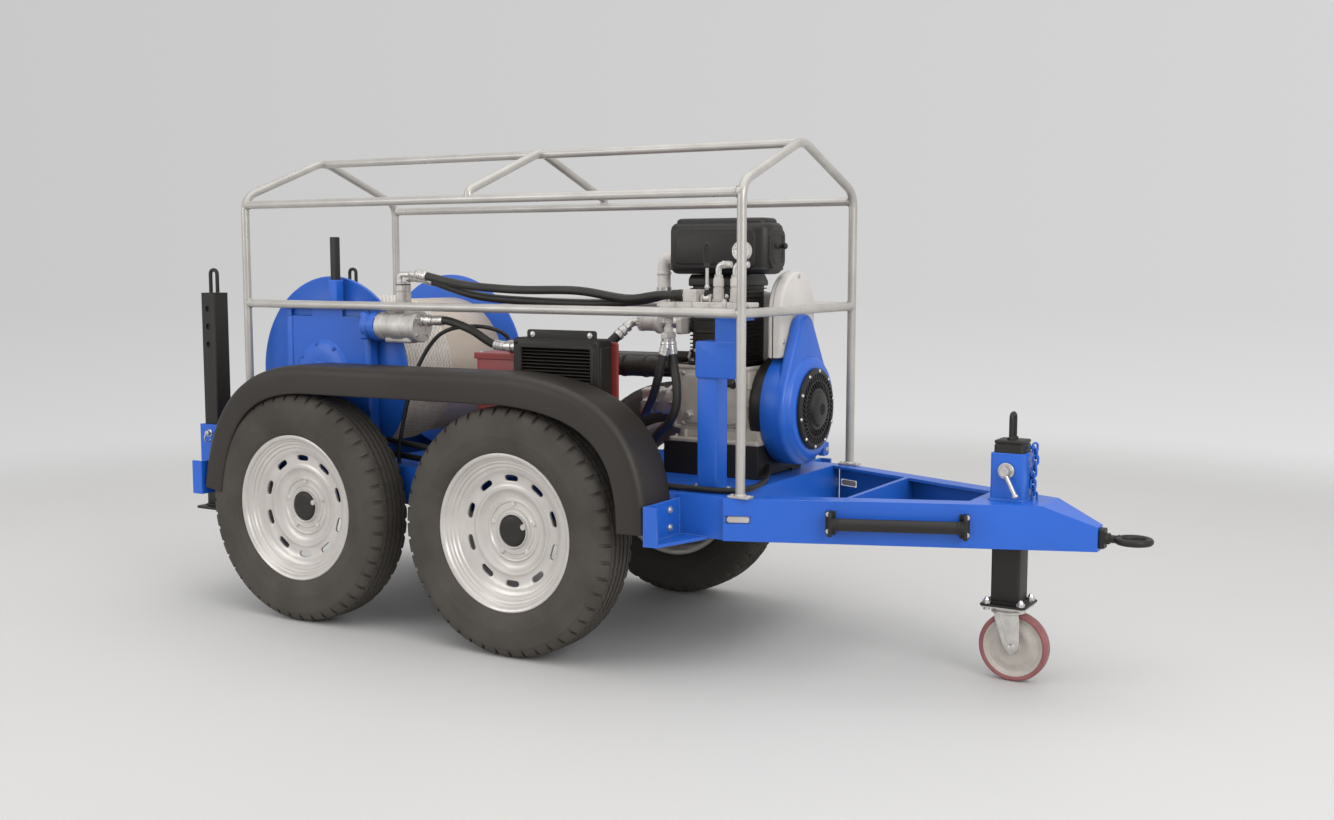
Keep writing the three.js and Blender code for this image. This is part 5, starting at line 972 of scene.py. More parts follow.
def flange(side):
    """A flange's profile, thick at the rim's roll and pressed in a little in the middle."""
    outer = side * 288
    return turned([(208, side * FLANGE), (290, side * FLANGE), (295, side * 281), (297, side * 284),
                   (295, outer), (289, outer), (282, side * 286), (240, side * 286), (232, outer),
                   (90, outer), (72, outer), (72, side * FLANGE)], DRUM, "y", 120, closed=True)


core = turned([(CORE, -280.5), (CORE, 280.5), (208, 280.5), (208, -280.5)], DRUM, "y", 120, closed=True)
piece("drum_body", {blue_enamel: [flange(-1), flange(1)], oiled_core_steel: [core]}, "winch_drum", "drum")

LOOPS, ROUND_STEPS, ROPE_SIDES = 20, 72, 10
count = LOOPS * ROUND_STEPS + 1
rounds = np.arange(count) / ROUND_STEPS
line_radius = CORE + ROPE + 0.6
line = np.stack([DRUM[0] + np.cos(rounds * 2 * np.pi) * line_radius, -FLANGE + ROPE + 0.8 + rounds * PITCH,
                 DRUM[2] + np.sin(rounds * 2 * np.pi) * line_radius], -1)
length_along = rounds * 2 * np.pi * line_radius / 1000
part_round = np.arange(ROPE_SIDES) / ROPE_SIDES
rope_uv = np.stack([np.repeat(length_along, ROPE_SIDES), np.tile(part_round, count)], -1)
piece("rope_on_drum", {laid_rope: [bar(line, ROPE, ROPE_SIDES)]}, "rope_winding", "drum", uv=rope_uv)
print("The rope on the drum is", round(length_along[-1], 1), "m long")

# %% [markdown]
# The jockey leg is a square column in a sleeve on the drawbar's nose, held by a clamp screw, and it
# carries the castor. Square tubes are outlines with eased corners, carried upwards over rounded rims.
# Plates could be plain boxes, but a box with knife edges gives itself away wherever light falls on it.

# %% Jockey leg
JOCKEY = 1620.3
CLAMP = (JOCKEY, -43.8, 548)
CONE = [(0, 17), (4, 16), (8.5, 8), (11, 7), (11.5, 1), (11.5, -0.5), (0, -0.5)]
piece("nose_sleeve", {blue_enamel: [collar(JOCKEY, 0, 43.5, 360, 592, 5.5, 8),
                                    collar(JOCKEY, 0, 48.5, 468, 476, 5, 12, 2.4)]}, "jockey_sleeve")

loop = softened([(JOCKEY, -14, 619), (JOCKEY, -14, 689), (JOCKEY, 14, 689), (JOCKEY, 14, 619)], 14, 8)
black = [square(JOCKEY, 0, 37.5, 203.5, 612, 8), square(JOCKEY, 0, 35, 610, 615, 7),
         square(JOCKEY, 0, 37.5, 614, 623.5, 8, 3.5), bar(loop, 6, 16, "x"),
         square(JOCKEY, 0, 59, 198.7, 204.3, 9), collar(JOCKEY, 0, 43, 203, 210, 6, 10, 2.8),
         *[nut((JOCKEY, side, 623), "z", 10, 7) for side in (-14, 14)]]
bright = [square(JOCKEY, 0, 57, 194.4, 198.5, 9)]
for along, side in ((-44, -44), (44, -44), (44, 44), (-44, 44)):
    bright += [turned(CONE, (JOCKEY + along, side, 204.3), "z", 6),
               nut((JOCKEY + along, side, 187), "z", 9, 7.6)]
piece("leg_column", {black_powder_coat: black, zinc_plate: bright}, "jockey_column", "jockey_leg")

stem = [(0, 6), (8, 6), (8, 14), (7, 15), (8, 16), (7, 17), (8, 18), (11, 19), (13, 22), (13, 27), (11, 30),
        (0, 31)]
tommy = [(0, -12), (5, -11.5), (6.5, -8), (6, -4), (6, 62), (8, 64), (8.5, 68), (6, 72), (0, 73)]
piece("clamp_handle", {zinc_plate: [
    turned([(0, 0), (19.5, 0), (21, 1.6), (21, 10.4), (19.5, 12), (0, 12)], CLAMP, "-y", 28),
    turned(stem, CLAMP, "-y", 24),
    turned(tommy, (JOCKEY, -68, 548), (math.sin(0.46), 0, -math.cos(0.46)), 20),
    turned([(0, -6), (6, -5.5), (8, -4), (8, 1), (0, 1)], CLAMP, "-y", 20)]}, "jockey_clamp", "clamp_screw")
print("The leg's column and its clamp are made")

# %% [markdown]
# The castor's fork is a pressed sheet with two legs and a ball race above. The legs' outline is eased and
# carried through the sheet's thickness, with a raised rib pressed into it. The wheel is a turned nylon
# disc with a polyurethane tread bonded round it, two colours that meet at a crisp line.

# %% Castor
WHEEL = (1637.3, 0, 90)
LEG = [(1591, 189), (1591, 166), (1617, 91), (1637.3, 69), (1657.6, 91), (1658, 166), (1650, 189)]
RIB = [(1604, 178), (1606, 164), (1626, 104), (1637.3, 96), (1647, 106), (1645, 164), (1640, 178)]
race = [(0, 194), (34, 194), (40, 193), (42, 190), (41, 187), (38, 185.6), (30, 184.6), (0, 184.6)]
groove = [(0, 186), (41, 186), (44, 183), (44, 178), (38, 176), (0, 176)]
fork = [turned(race, (JOCKEY, 0, 0), "z", 56), turned(groove, (JOCKEY, 0, 0), "z", 56),
        block((1592, 1650), (-29, 29), (176, 186), 9, edge=4), rod(6, -29, 29, WHEEL, "y", 20)]
for low, high, rib_low, rib_high, axis in ((-29, -24, -30.6, -27, "-y"), (24, 29, 27, 30.6, "y")):
    fork += [slab(softened(LEG, 16, 6, closed=True), low, high, "y"),
             slab(softened(RIB, 12, 6, closed=True), rib_low, rib_high, "y", 1.4),
             *hexagon_bolt((WHEEL[0], low if axis == "-y" else high, WHEEL[2]), axis, 9, 6)]
piece("castor_legs", {zinc_plate: fork}, "castor_fork", "castor")

tread = mirrored([(77.5, -15), (79, -17.5), (84, -18.6), (88, -16.5), (89.6, -12), (90, -5)])
disc = mirrored([(6.6, -19), (13, -19), (16, -18), (18, -13), (19, -11), (34, -10), (37, -11.5), (52, -11.5),
                 (55, -9.5), (66, -9.5), (70, -12.5), (77.6, -14.6)])
piece("castor_disc", {cast_polyurethane: [turned(tread, WHEEL, "y", 96, closed=True)],
                      nylon: [turned(disc, WHEEL, "y", 96, closed=True)]}, "castor_wheel", "castor_roller")
print("The castor is made")

# %% [markdown]
# The two rear stands are drilled square columns. Their holes really go through, so light shows in them:
# a Boolean takes the holes and the inside away from a block, which is quicker here than a patch for each.
# The same cut makes the slots of the winch's cheeks.

# %% Rear stands
HOLES = (920, 863, 806)
PIN_HEAD = [(0, 16), (7, 16), (9, 14), (9, 4), (12, 3), (12, 0), (0, 0)]
HOLE_RIM = [(9.6, 29.4), (11.8, 29.4), (11.8, 30.2), (9.6, 30.2)]

for side, hand in (("right", 1), ("left", -1)):
    x, y = -909, -hand * 320
    holes = [rod(10, -34, 34, (x, y, level), "y", 28) for level in HOLES]
    rims = [turned(HOLE_RIM, (x, y, level), axis, 28, closed=True) for level in HOLES for axis in ("-y", "y")]
    column = cut_out(square(x, y, 30, 279, 968, 6), square(x, y, 24, 286, 960, 3), *holes)
    loop = softened([(x - 15, y, 968), (x - 15, y, 1044), (x + 15, y, 1044), (x + 15, y, 968)], 15, 8)
    piece("stand_column_" + side, {black_powder_coat: [
        column, *rims, square(x, y, 30.5, 966, 971.5, 7), square(x, y, 55, 272, 280, 10),
        collar(x, y, 35, 279, 286, 6, 8, 2.8), bar(loop, 6, 16)]}, "rear_stand_" + side, "stand_" + side)
    face = y - hand * 40
    piece("stand_pin_" + side, {zinc_plate: [turned(PIN_HEAD, (x + 4, face, 520), (0, -hand, 0), 24),
                                             torus((x + 4, face - hand * 10, 506), "x", 13, 2)]})
print("The rear stands are made")

# %% [markdown]
# The winch's near cheek is a shallow box open towards the drum, with two slots, a gear dome and the
# socket of the lock bar. Its face is a Boolean of blocks; what is round on it is turned. The far cheek
# is a lower box of the same make. Welds run where the cheeks stand on the deck.

# %% Winch cheeks and lock bar
SHAFT = 882


def on_axle(side):
    """A place on the drum's axle."""
    return DRUM[0], side, DRUM[2]


def on_motor(x):
    """A place on the axle that the gearbox and the motor share."""
    return x, -332, SHAFT


def cheek(x, top, near, far):
    """A box from near to far with its inside cut away towards the drum, and a weld bead on the deck."""
    way = 1 if far > near else -1
    shell = block(x, sorted((near, far)), (471.3, top), 10, "y", 3.5)
    room = block((x[0] + 9, x[1] - 9), sorted((near + way * 9, far + way * 5)), (480, top - 9), 4, "y")
    bead = block((x[0] - 6, x[1] + 6), sorted((near - way * 6, near + way * 2)), (471, 478), 2, edge=2.5)
    return shell, room, bead


shell, room, bead = cheek((-575, -235), 945, -334, -296)
slots = [block((start, start + 88), (-340, -320), (906, 933), 4, "y") for start in (-555, -343)]
dome = [(0, -7), (12, -7), (30, -12.4), (60, -12), (88, -9), (99, -5), (105, 0), (105, 4), (0, 4)]
hub = [(0, -19), (30, -19), (35, -17.5), (38, -14), (38, 0), (0, 0)]
gearbox = [(0, -4), (41, -4), (41, 6), (44, 7), (44, 14), (41, 15), (41, 30), (45, 31), (45, 46), (43, 48),
           (0, 48)]
blue = [cut_out(shell, room, *slots), bead, hollow(rectangle(-402, -368, -332, -298, 5), 936, 1016, 5),
        turned(dome, on_axle(-334), "y", 96), turned(hub, on_axle(-334), "y", 64),
        rod(70, 0, 52, on_axle(-326), "y", 64),
        *bolts(around(on_axle(-341), "y", 93, 8, 0.2), "-y", 5.5, 4.5),
        block((-556, -300), (-337.5, -333), (500, 600), 10, "y", 2),
        *[block((start, start + 22), (-337, -333), (620, 905), 4, "y", 2) for start in (-572, -260)],
        turned(gearbox, on_motor(-235), "x", 56), block((-244, -226), (-364, -290), (841, 923), 8, "x", 2)]
bright = bolts(around(on_axle(-352.4), "y", 25, 4), "-y", 4, 2.6)
bright += [nut(place, "x", 4.5, 3.5) for place in around(on_motor(-189), "x", 37, 6, 0.3)]
piece("near_cheek", {blue_enamel: blue, zinc_plate: bright}, "winch_pedestal_right")

shell, room, bead = cheek((-547, -307), 860, 334, 296)
dome = turned([(0, 12), (40, 12), (52, 8), (60, 0), (60, -4), (0, -4)], on_axle(334), "y", 72)
boss = rod(70, 0, -52, on_axle(326), "y", 64)
screws = bolts(around(on_axle(345), "y", 46, 6), "y", 5, 4)
piece("far_cheek", {blue_enamel: [cut_out(shell, room), bead, dome, boss], zinc_plate: screws},
      "winch_pedestal_left")

shaft = block((-396, -374), (-326, -304), (947, 1145), edge=2.5)
piece("lock_bar_shaft", {black_powder_coat: [shaft]}, "drum_lock_bar", "lock_bar")
print("The winch's cheeks are made")

# %% [markdown]
# The winch's motor sits on the gearbox with a valve block on top. Castings have ribs, lands and bolts, and
# the fittings on them are nuts and collars with sharp steps. All of them are turned or carried outlines;
# the elbows are bars along a bent path with a ribbed nut at their end.

# %% Winch motor


def elbow(foot, top, reach, radius, size):
    """A bent pipe from a cartridge up to a level and then forwards, with a nut at both ends."""
    x, y, low = foot
    bend = bar(softened([(x, y, low), (x, y, top), (x + reach, y, top)], 14, 8), radius, 18)
    nuts = [nut((x, y, low), "z", size, 9), nut((x + reach - 26, y, top), "x", size, 11)]
    ribs = [(radius * 0.9, 0), (size * 0.86, 0.6), (size * 0.86, 3), (radius * 1.05, 3.6), (radius * 1.05, 5),
            (size * 0.86, 5.6), (size * 0.86, 8), (radius * 1.05, 8.6), (radius * 1.05, 10),
            (size * 0.8, 10.6), (size * 0.8, 13), (radius * 0.9, 13.6)]
    return [bend, *nuts, turned(ribs, (x + reach - 14, y, top), "x", 28, closed=True)]


def cartridge(foot, height, radius):
    """A valve cartridge: a hexagon at its foot, a round body with a groove and a chamfered top."""
    body = [(0, height), (radius * 0.7, height), (radius * 0.98, height * 0.9), (radius, height * 0.62),
            (radius * 0.86, height * 0.6), (radius * 0.86, height * 0.54), (radius, height * 0.52),
            (radius, 8), (0, 8)]
    return [turned(body, foot, "z", 32), nut(foot, "z", radius * 1.12, 11)]


motor = [(0, 0), (36, 0), (41, 2), (41, 22), (38, 24), (38, 52), (41, 54), (41, 96), (38, 98), (38, 118),
         (41, 120), (41, 138), (45.5, 140), (45.5, 152), (43, 154.4), (20, 154.4), (18, 152), (0, 152)]
adaptor = [(0, 0), (17, 0), (17, 10), (14, 12), (14, 16), (17.5, 18), (17.5, 30), (14.5, 32), (14.5, 42),
           (0, 42)]
casting = [turned(motor, on_motor(-187), "x", 56), block((-160, -60), (-352, -312), (834, 860), 8, "x", 4)]
pale = [block((-172.7, -102.7), (-332, -272), (884, 949), 4, edge=3),
        block((-168, -108), (-334.5, -330), (905, 940), 6, "y")]
bright = [*[nut(place, "x", 5.5, 4) for place in around(on_motor(-32.8), "x", 34, 4, np.pi / 4)],
          turned(adaptor, (-32.7, -332, 902), "x", 30),
          *bolts([(x, -334.5, z) for z in (912, 934) for x in (-164, -112)], "-y", 4, 3.5)]
seals = []
for side, level in ((-320, 1034), (-288, 1020)):
    pale += cartridge((-126.7, side, 949), 58, 12)
    bright += elbow((-126.7, side, 1004), level, 66, 8.5, 11)
    seals.append(torus((-126.7, side, 1003), "z", 9.5, 2.2, 28))
piece("winch_drive", {sand_cast_aluminium: casting, zinc_plate: bright, pale_casting: pale,
                      hose_cover: seals}, "winch_motor")
print("The winch's motor is made")

# %% [markdown]
# The oil cooler is a folded steel box with fourteen slanted louvres in its face, and a tab with two bolts
# above. The louvres are thin parallelograms carried across the opening. The tank behind it is a red
# folded box with a lid whose lip hangs over, and a shield beside it that keeps the cooler's air apart.

# %% Oil cooler and tank
LOUVRES, DECK = 14, 471.5
box = block((294, 580), (-330, -264), (569, 859), 5, "y", 2.5)
field = block((322, 552), (-336, -310), (703, 833), 6, "y")
black = [cut_out(box, field), hollow(rectangle(314, 560, 695, 841, 8), -332.4, -329, 7, "y"),
         block((342, 572), (-330, -324), (855, 885), 9, "y"),
         block((578, 582.5), (-322, -272), (590, 838), 6, "x"),
         block((298, 576), (-326, -268), (857, 861.5), 6, edge=1.6)]
for level in 703 + 130 / LOUVRES * (np.arange(LOUVRES) + 0.2):
    blade = [(-328.5, level), (-327.5, level - 0.8), (-311, level + 6), (-311, level + 8),
             (-327.5, level + 1.6)]
    black.append(slab(blade, 321, 553, "x", 0.3))
for start in (294, 546):
    foot = [(start, -330), (start + 34, -330), (start + 34, -264), (start, -264)]
    black.append(hollow(foot, DECK, 572, 4))
black += [block((x, x + 1.6), (-311, -309.4), (704, 832), 0.5, "y", 0.3) for x in np.arange(328, 548, 7.3)]
black += bolts([(x, -330, z) for z in (849, 580, 690) for x in (304, 570)], "-y", 4.5, 3)
port = [(0, 0), (14, 0), (14, 8), (17.5, 10), (17.5, 24), (14.5, 26), (14.5, 30), (17.5, 32), (17.5, 44),
        (19, 46), (19, 52), (0, 52)]
bright = [*bolts([(362, -330, 872), (552, -330, 872)], "-y", 6, 4), turned(port, (244, -297, 833), "x", 30)]
piece("cooler_box", {black_powder_coat: black, zinc_plate: bright}, "oil_cooler")

red = [block((98, 298), (-250, 200), (DECK, 804), 12, edge=3),
       block((92, 304), (-256, 206), (801, 808), 10, edge=2.4),
       hollow(rectangle(92, 304, -256, 206, 10), 790, 804, 3.5, edge=1.4),
       block((296, 588), (-250, -240), (DECK, 850), 8, "y", 2),
       block((300, 584), (-252, -238), (842, 851), 3, "x"),
       block((92, 100), (-40, -30), (478, 788), 2, edge=2),
       block((90, 306), (-257, 207), (DECK, 477), 6, edge=2)]
screws = bolts([(x, side, 808) for side in np.linspace(-236, 186, 6) for x in (106, 290)], "z", 5, 3.6)
piece("tank_box", {tank_enamel: red, zinc_plate: screws}, "oil_tank")
print("The cooler and the tank are made")

# %% [markdown]
# The control post carries the hydraulic valve, which is a stack of cast sections on tie bolts with two
# cartridges, a gauge and a hand lever. The lever swings on its own pin, so its rod, ball and looped grip
# are a piece apart. The stack could be one box, but the joints between its sections are what one sees.

# %% Control post and valve
blue = [block((868, 928), (-300, -240), (DECK, 866), 6, edge=2),
        block((866, 1010), (-306.5, -299), (770, 866), 8, "y", 2),
        block((924, 1010), (-306, -294), (850, 927.5), 6, "y", 2),
        block((924, 1010), (-304, -248), (921, 928), 4), collar(898, -270, 36, 470, 478, 6, 10, 2.6),
        *[block((x, x + 30), (-285, -255), (471, 480), 6) for x in (842, 924)]]
piece("post_body", {blue_enamel: blue, zinc_plate: bolts([(852, -270, 480), (946, -270, 480)], "z", 6, 5)},
      "control_post")

GAUGE = (985, -274, 1099)
plug = [(0, 3), (3, 3), (5, 1.5), (6, 0), (6, -1), (0, -1)]
bump = [(0, 8), (5, 8), (7, 6), (7.5, 2), (9, 0), (0, 0)]
drop = [(0, -60), (8, -60), (9, -56), (9, -46), (12, -44), (12, -30), (9, -28), (9, -20), (13, -18), (13, -6),
        (11, -4), (11, 1), (0, 1)]
stem = [(0, -13), (6, -13), (9, -12), (9, -4), (5.5, -2), (5.5, 4), (8, 6), (8, 14), (0, 14)]
case = [(0, -10), (23, -10), (25, -8), (25, 8), (24, 10), (21.5, 10), (21.3, 7.4), (0, 7.4)]
ear = softened([(-284, 962), (-264, 962), (-264, 978), (-269, 987), (-279, 987), (-284, 978)], 5, 4,
               closed=True)
pale = [block((753, 1001), (-296, -252), (931, 965), 3, "x", 1),
        block((1001, 1022), (-300, -248), (954.5, 967), 4, "x", 2),
        block((824, 864), (-300, -248), (965, 999), 4, "x", 2.4), turned(drop, (766, -274, 928), "z", 30),
        block((756, 776), (-299, -249), (866, 886), 8, "y", 4),
        *[slab(ear, x, x + 5, "x", 1) for x in (867.5, 893.5)]]
bright = [*[nut((746, side, 947), "x", 6, 6) for side in (-290, -258)],
          *[turned(bump, (x, -286, 967), "z", 6) for x in (776, 940, 995)],
          *[nut((815, side, 983), "x", 13, 10) for side in (-288, -259.5)],
          *[nut((766, side, 861), "z", 12, 8) for side in (-287, -261)],
          turned(stem, (985, -274, 1062), "z", 6), turned(case, GAUGE, "-y", 64)]
for start, end in ((752, 800), (801, 851), (852, 902), (903, 953), (954, 1002)):
    pale += [block((start, end), (-300, -248), (928.5, 967), 3, "x", 2.2),
             block((start + 8, end - 8), (-303, -298), (936, 960), 5, "y", 1.8)]
    bright.append(turned(plug, ((start + end) / 2, -303, 948), "-y", 6))
for x in (917, 967):
    pale += cartridge((x, -274, 967), 66, 14)
    bright += elbow((x, -274, 1029), 1064, 38, 8, 11)
tick = block((-0.5, 0.5), (-8.7, -7.8), (15.5, 19.5), 0.3, edge=0.1)
needle = block((-0.7, 0.7), (-9.3, -8.6), (-5, 16), 0.4, edge=0.1)
marks = [moved(tick, spin, "y", GAUGE) for spin in np.linspace(-2.3, 2.3, 11)]
marks.append(moved(needle, -1.2, "y", GAUGE))
piece("valve_stack", {pale_casting: pale, zinc_plate: bright,
                      dial_card: [turned([(0, 8), (21, 8), (21, 7), (0, 7)], GAUGE, "-y", 48)],
                      dark_gap: marks}, "control_valve")
print("The gauge has", len(marks) - 1, "ticks")

# %% [markdown]
# The hand lever turns on a pin between the valve's two ears. It has a folded rubber boot, a ball and a
# looped wire grip. The boot and the ball are turned, and the grip is a bar on an eased, closed path.

# %% Lever
PIVOT = (883, -274, 977.5)
barrel = [(0, -10), (8.5, -10), (10, -8.5), (10, 8.5), (8.5, 10), (0, 10)]
pin = [(0, -15.5), (3.5, -15.5), (4, -15), (4, 15), (3.5, 15.5), (0, 15.5)]
boot = [(0, 4), (9.5, 4), (9.5, 7), (8, 9), (9, 11), (7.5, 13), (8.4, 15), (6.5, 17), (7, 19), (4.5, 21),
        (0, 21)]
ball = [(7 * math.sin(q), 28 - 7 * math.cos(q)) for q in np.linspace(0, np.pi, 12)]
neck = [(0, 78), (6, 78), (8, 82), (7, 88), (0, 90)]
side_line = [(5, 82), (7, 96), (8, 118), (7, 132), (3.4, 140.5)]
grip = softened([(PIVOT[0] - u, PIVOT[1], PIVOT[2] + v) for u, v in side_line]
                + [(PIVOT[0] + u, PIVOT[1], PIVOT[2] + v) for u, v in side_line[::-1]], 6, 6)
piece("lever_grip", {
    black_powder_coat: [bar(grip, 3.6), turned(neck, PIVOT, "z", 24), turned(boot, PIVOT, "z", 28)],
    zinc_plate: [turned(barrel, PIVOT, "x", 32), turned(pin, PIVOT, "x", 20), turned(ball, PIVOT, "z", 24),
                 rod(4.4, 18, 84, PIVOT, "z", 20)]}, "control_lever", "lever")
print("The control stand is made")

# %% [markdown]
# The engine is the largest casting. A crankcase with ledges, ribs and a side cover stands on a flanged
# sump; above it is a black cylinder with cooling fins. Ledges and fins are slabs of the same rounded
# outline at many levels. One finned block by a displacement map would save faces but not look cast.

# %% Engine block and skid
AXLE = (0, 105, 660)


def wings(x, y, levels, corner, thick=3.0, edge=1.2):
    """Thin rounded plates at each level: the fins of a cylinder or the ledges of a crankcase."""
    return [block(x, y, (level, level + thick), corner, edge=edge) for level in levels]


near_bar = [(-60, DECK), (0, DECK), (0, 479), (-52, 479), (-52, 555), (0, 555), (0, 563), (-60, 563)]
far_bar = [(160 - y, z) for y, z in near_bar][::-1]
black = [slab(near_bar, 624, 925, "x", 1.2), slab(far_bar, 624, 925, "x", 1.2),
         *[block((x, x + 30), (-50, 210), (473, 560), 4, "y") for x in (628, 890)]]
feet = bolts([(x, y, 575) for x in (650, 780, 905) for y in (-30, 190)], "z", 7, 6)
piece("skid_rails", {black_powder_coat: black, zinc_plate: feet}, "engine_skid")

casting = [block((638, 925), (-60, 220), (563.4, 575), 12, edge=2.5),
           block((660, 925), (-40, 200), (573, 603), 16, edge=3),
           *[block((x, x + 7), (-52, 212), (574, 597), 3, edge=2) for x in (684, 744, 804, 864)],
           block((642, 884), (-38, 198), (600, 781), 20, edge=7),
           *wings((639.5, 886), (-41, 201), (598, 668, 716, 770), 20, thick=11, edge=3),
           slab(rectangle(672, 858, 616, 756, 34, 8), -50, -36, "y", 4),
           slab(rectangle(664, 866, 608, 764, 40, 8), -43.5, -36, "y", 2),
           *[block((x, x + 8), (-46, -34), (602, 778), 3, "y", 2) for x in (648, 872)]]
bolt_line = [(678, 614), (740, 612), (800, 612), (852, 614), (862, 684), (852, 758), (800, 760), (740, 760),
             (678, 758), (668, 684)]
plug = [(0, 14), (9, 14), (10, 12), (10, 5), (14, 4), (14, -2), (0, -2)]
filler = [(0, 30), (12, 30), (15, 27), (15, 18), (11, 16), (11, -2), (0, -2)]
back_plate = [(0, 880), (128, 880), (139, 883), (144, 888), (146, 896), (146, 925), (0, 925)]
bright = [*bolts([(x, -43.5, z) for x, z in bolt_line], "-y", 5, 4), turned(plug, (700, -50, 640), "-y", 6),
          rod(20, 900, 934.5, AXLE, "x", 24)]
dark = [turned(filler, (842, -50, 730), (0, -1, 0.5), 20), turned(back_plate, AXLE, "x", 80)]
piece("engine_case", {crankcase_casting: casting, zinc_plate: bright, moulded_plastic: dark}, "crankcase")

head = softened([(-40, 1003), (160, 1003), (160, 1016), (139, 1036), (-26, 1036), (-40, 1024)], 5, 4,
                closed=True)
black = [block((697, 839), (-33, 153), (783, 1008), 16, edge=3),
         *wings((690, 846), (-40, 160), np.arange(796, 996, 11.0), 20, thick=3.2, edge=1),
         slab(head, 692, 844, "x", 3), block((688, 848), (-42, 162), (781, 794), 14, edge=2.5),
         block((712, 826), (-46, -38), (812, 986), 14, "y", 3),
         *[block((720, 818), (-48, -45), (z, z + 6), 2, "y", 1) for z in (836, 872, 908, 944)]]
bright = [*bolts([(x, -34, 794) for x in (704, 746, 790, 832)], "z", 5.5, 6),
          *bolts([(x, -46, z) for z in (822, 976) for x in (720, 818)], "-y", 4.5, 3.5)]
piece("cylinder_fins", {black_powder_coat: black, zinc_plate: bright}, "cylinder_block")
print("The engine block is made")

# %% [markdown]
# The blower's housing is blue sheet: a round drum with a lobe, whose outline is two circles joined by
# their tangents, and a nose with a rolled front edge. In its mouth sits the recoil starter's cover, with
# two rings of slanted bars over a recess, mirrored so that they make a chevron. The cowl is pale sheet.

# %% Blower housing, starter cover and cowl


def lobed(inset, steps=40):
    """Two circles, R 160 at (105, 660) and R 52 at (95, 874), each less the inset, with both tangents."""
    low, high, big, small = np.array([105.0, 660]), np.array([95.0, 874]), 160 - inset, 52 - inset
    across = high - low
    lean = math.atan2(across[1], across[0])
    opened = math.acos((big - small) / np.linalg.norm(across))
    a = np.linspace(lean + opened, lean - opened + 2 * np.pi, steps)
    b = np.linspace(lean - opened, lean + opened, steps // 2)
    return np.vstack([low + big * np.stack([np.cos(a), np.sin(a)], -1),
                      high + small * np.stack([np.cos(b), np.sin(b)], -1)])


skin_profile = [(150, 925.6), (158, 926), (160, 929), (160, 985), (158.5, 992), (155, 997), (150, 1000.5),
                (148, 1003), (146, 1008), (140, 1013.5), (132, 1017.2), (124, 1018.4), (112, 1018.4),
                (107.5, 1016), (106, 1011), (106, 998), (140, 992), (152, 984), (152, 934), (60, 934),
                (22, 934), (22, 926)]
piece("blower_shell", {
    blue_enamel: [turned(skin_profile, AXLE, "x", 112, closed=True), slab(lobed(0), 965, 1000.3, "x", 13),
                  block((972, 992), (232, 268), (508, 548), 8, "x", 2.5)],
    zinc_plate: hexagon_bolt((992, 254, 526), "x", 6, 5)}, "fan_housing")

cover = [(0, 1044.5), (22, 1044), (38, 1042), (46, 1038.6), (48, 1034), (50, 1030.6), (58, 1030.4),
         (59, 1025.5), (77, 1025.5), (78, 1029.6), (81, 1029.6), (82, 1025.5), (99, 1025.5), (100, 1029.4),
         (108, 1029), (113, 1026.5), (114.2, 1022), (114.2, 1018.8), (0, 1018.8)]
dark = [turned(cover, AXLE, "x", 128)]
for count, low, high, slant in ((34, 57, 79, 0.5), (42, 80, 101, -0.5)):
    rib = moved(block((1024.5, 1030), about(0, 1.7), about(0, (high - low) / 2), 1.2, edge=0.7), slant, "x",
                (0, 0, (low + high) / 2))
    dark += [moved(rib, spin, "x", AXLE) for spin in np.arange(count) * 2 * np.pi / count]
screw = [(0, 3.6), (3, 3.4), (4.6, 2), (5.2, 0), (5.2, -1), (0, -1)]
screws = [turned(screw, place, "x", 16) for place in around((1028.2, *AXLE[1:]), "x", 106.5, 10, 0.2)]
badge = turned([(0, 0.6), (16, 0.6), (18, -1), (0, -1)], (1044, *AXLE[1:]), "x", 40)
piece("starter_cover", {moulded_plastic: dark, zinc_plate: screws, dark_gap: [badge]}, "fan_cover")

arch = np.array([(0, 806), (217, 806)] + [(108.5 + 108.5 * math.cos(q), 936.5 + 108.5 * math.sin(q))
                                          for q in np.linspace(0, np.pi, 25)])
sheet = [slab(arch, 922, 965.5, "x", 9), hollow(arch, 936, 941, 2.5, "x", edge=1),
         block((846.5, 930), (125, 217), (783.5, 985), 12, "x", 2)]
places = [(965.5, side, level) for side, level in ((14, 850), (14, 930), (203, 850), (203, 930), (108, 1032))]
piece("pale_cowl", {cowl_enamel: sheet, zinc_plate: bolts(places, "x", 5, 3.5)}, "engine_cowl")
print("The blower, its cover and the cowl are made")

# %% [markdown]
# On top sits the air filter, a moulded box with large round corners, a seam and a stepped lid. Pipes
# lead from it into the cylinder and out to a muffler. A small oil filter and the hydraulic pump fill the
# space behind. Pipes are bars along bent paths; cans and bells are turned.

# %% Filter, pipes and pump
knob = [(0, -6), (9, -6), (10, -4), (10, 4), (7, 8), (5.6, 14), (6.5, 20), (8.4, 24), (8.6, 27), (6, 30),
        (0, 30.6)]
dark = [block((629, 947), (-57, 70), (1036.8, 1180), 40, edge=22),
        block((644, 932), (-44, 56), (1166, 1192), 32, edge=13),
        slab(rectangle(646, 912, 1050, 1164, 28, 8), -62.5, -50, "y", 5),
        slab(rectangle(662, 896, 1064, 1150, 20, 8), -64, -58, "y", 2.5),
        slab(rectangle(-40, 52, 1052, 1162, 28, 8), 938, 950.5, "x", 4.5),
        hollow(rectangle(-27, 39, 1064, 1150, 20, 8), 946, 952.5, 5, "x", edge=2),
        hollow(rectangle(628, 948, -58, 71, 41, 8), 1048, 1056, 4, edge=2),
        turned(knob, (947, 5, 1114), "x", 32)]
piece("filter_box", {moulded_plastic: dark}, "air_filter")

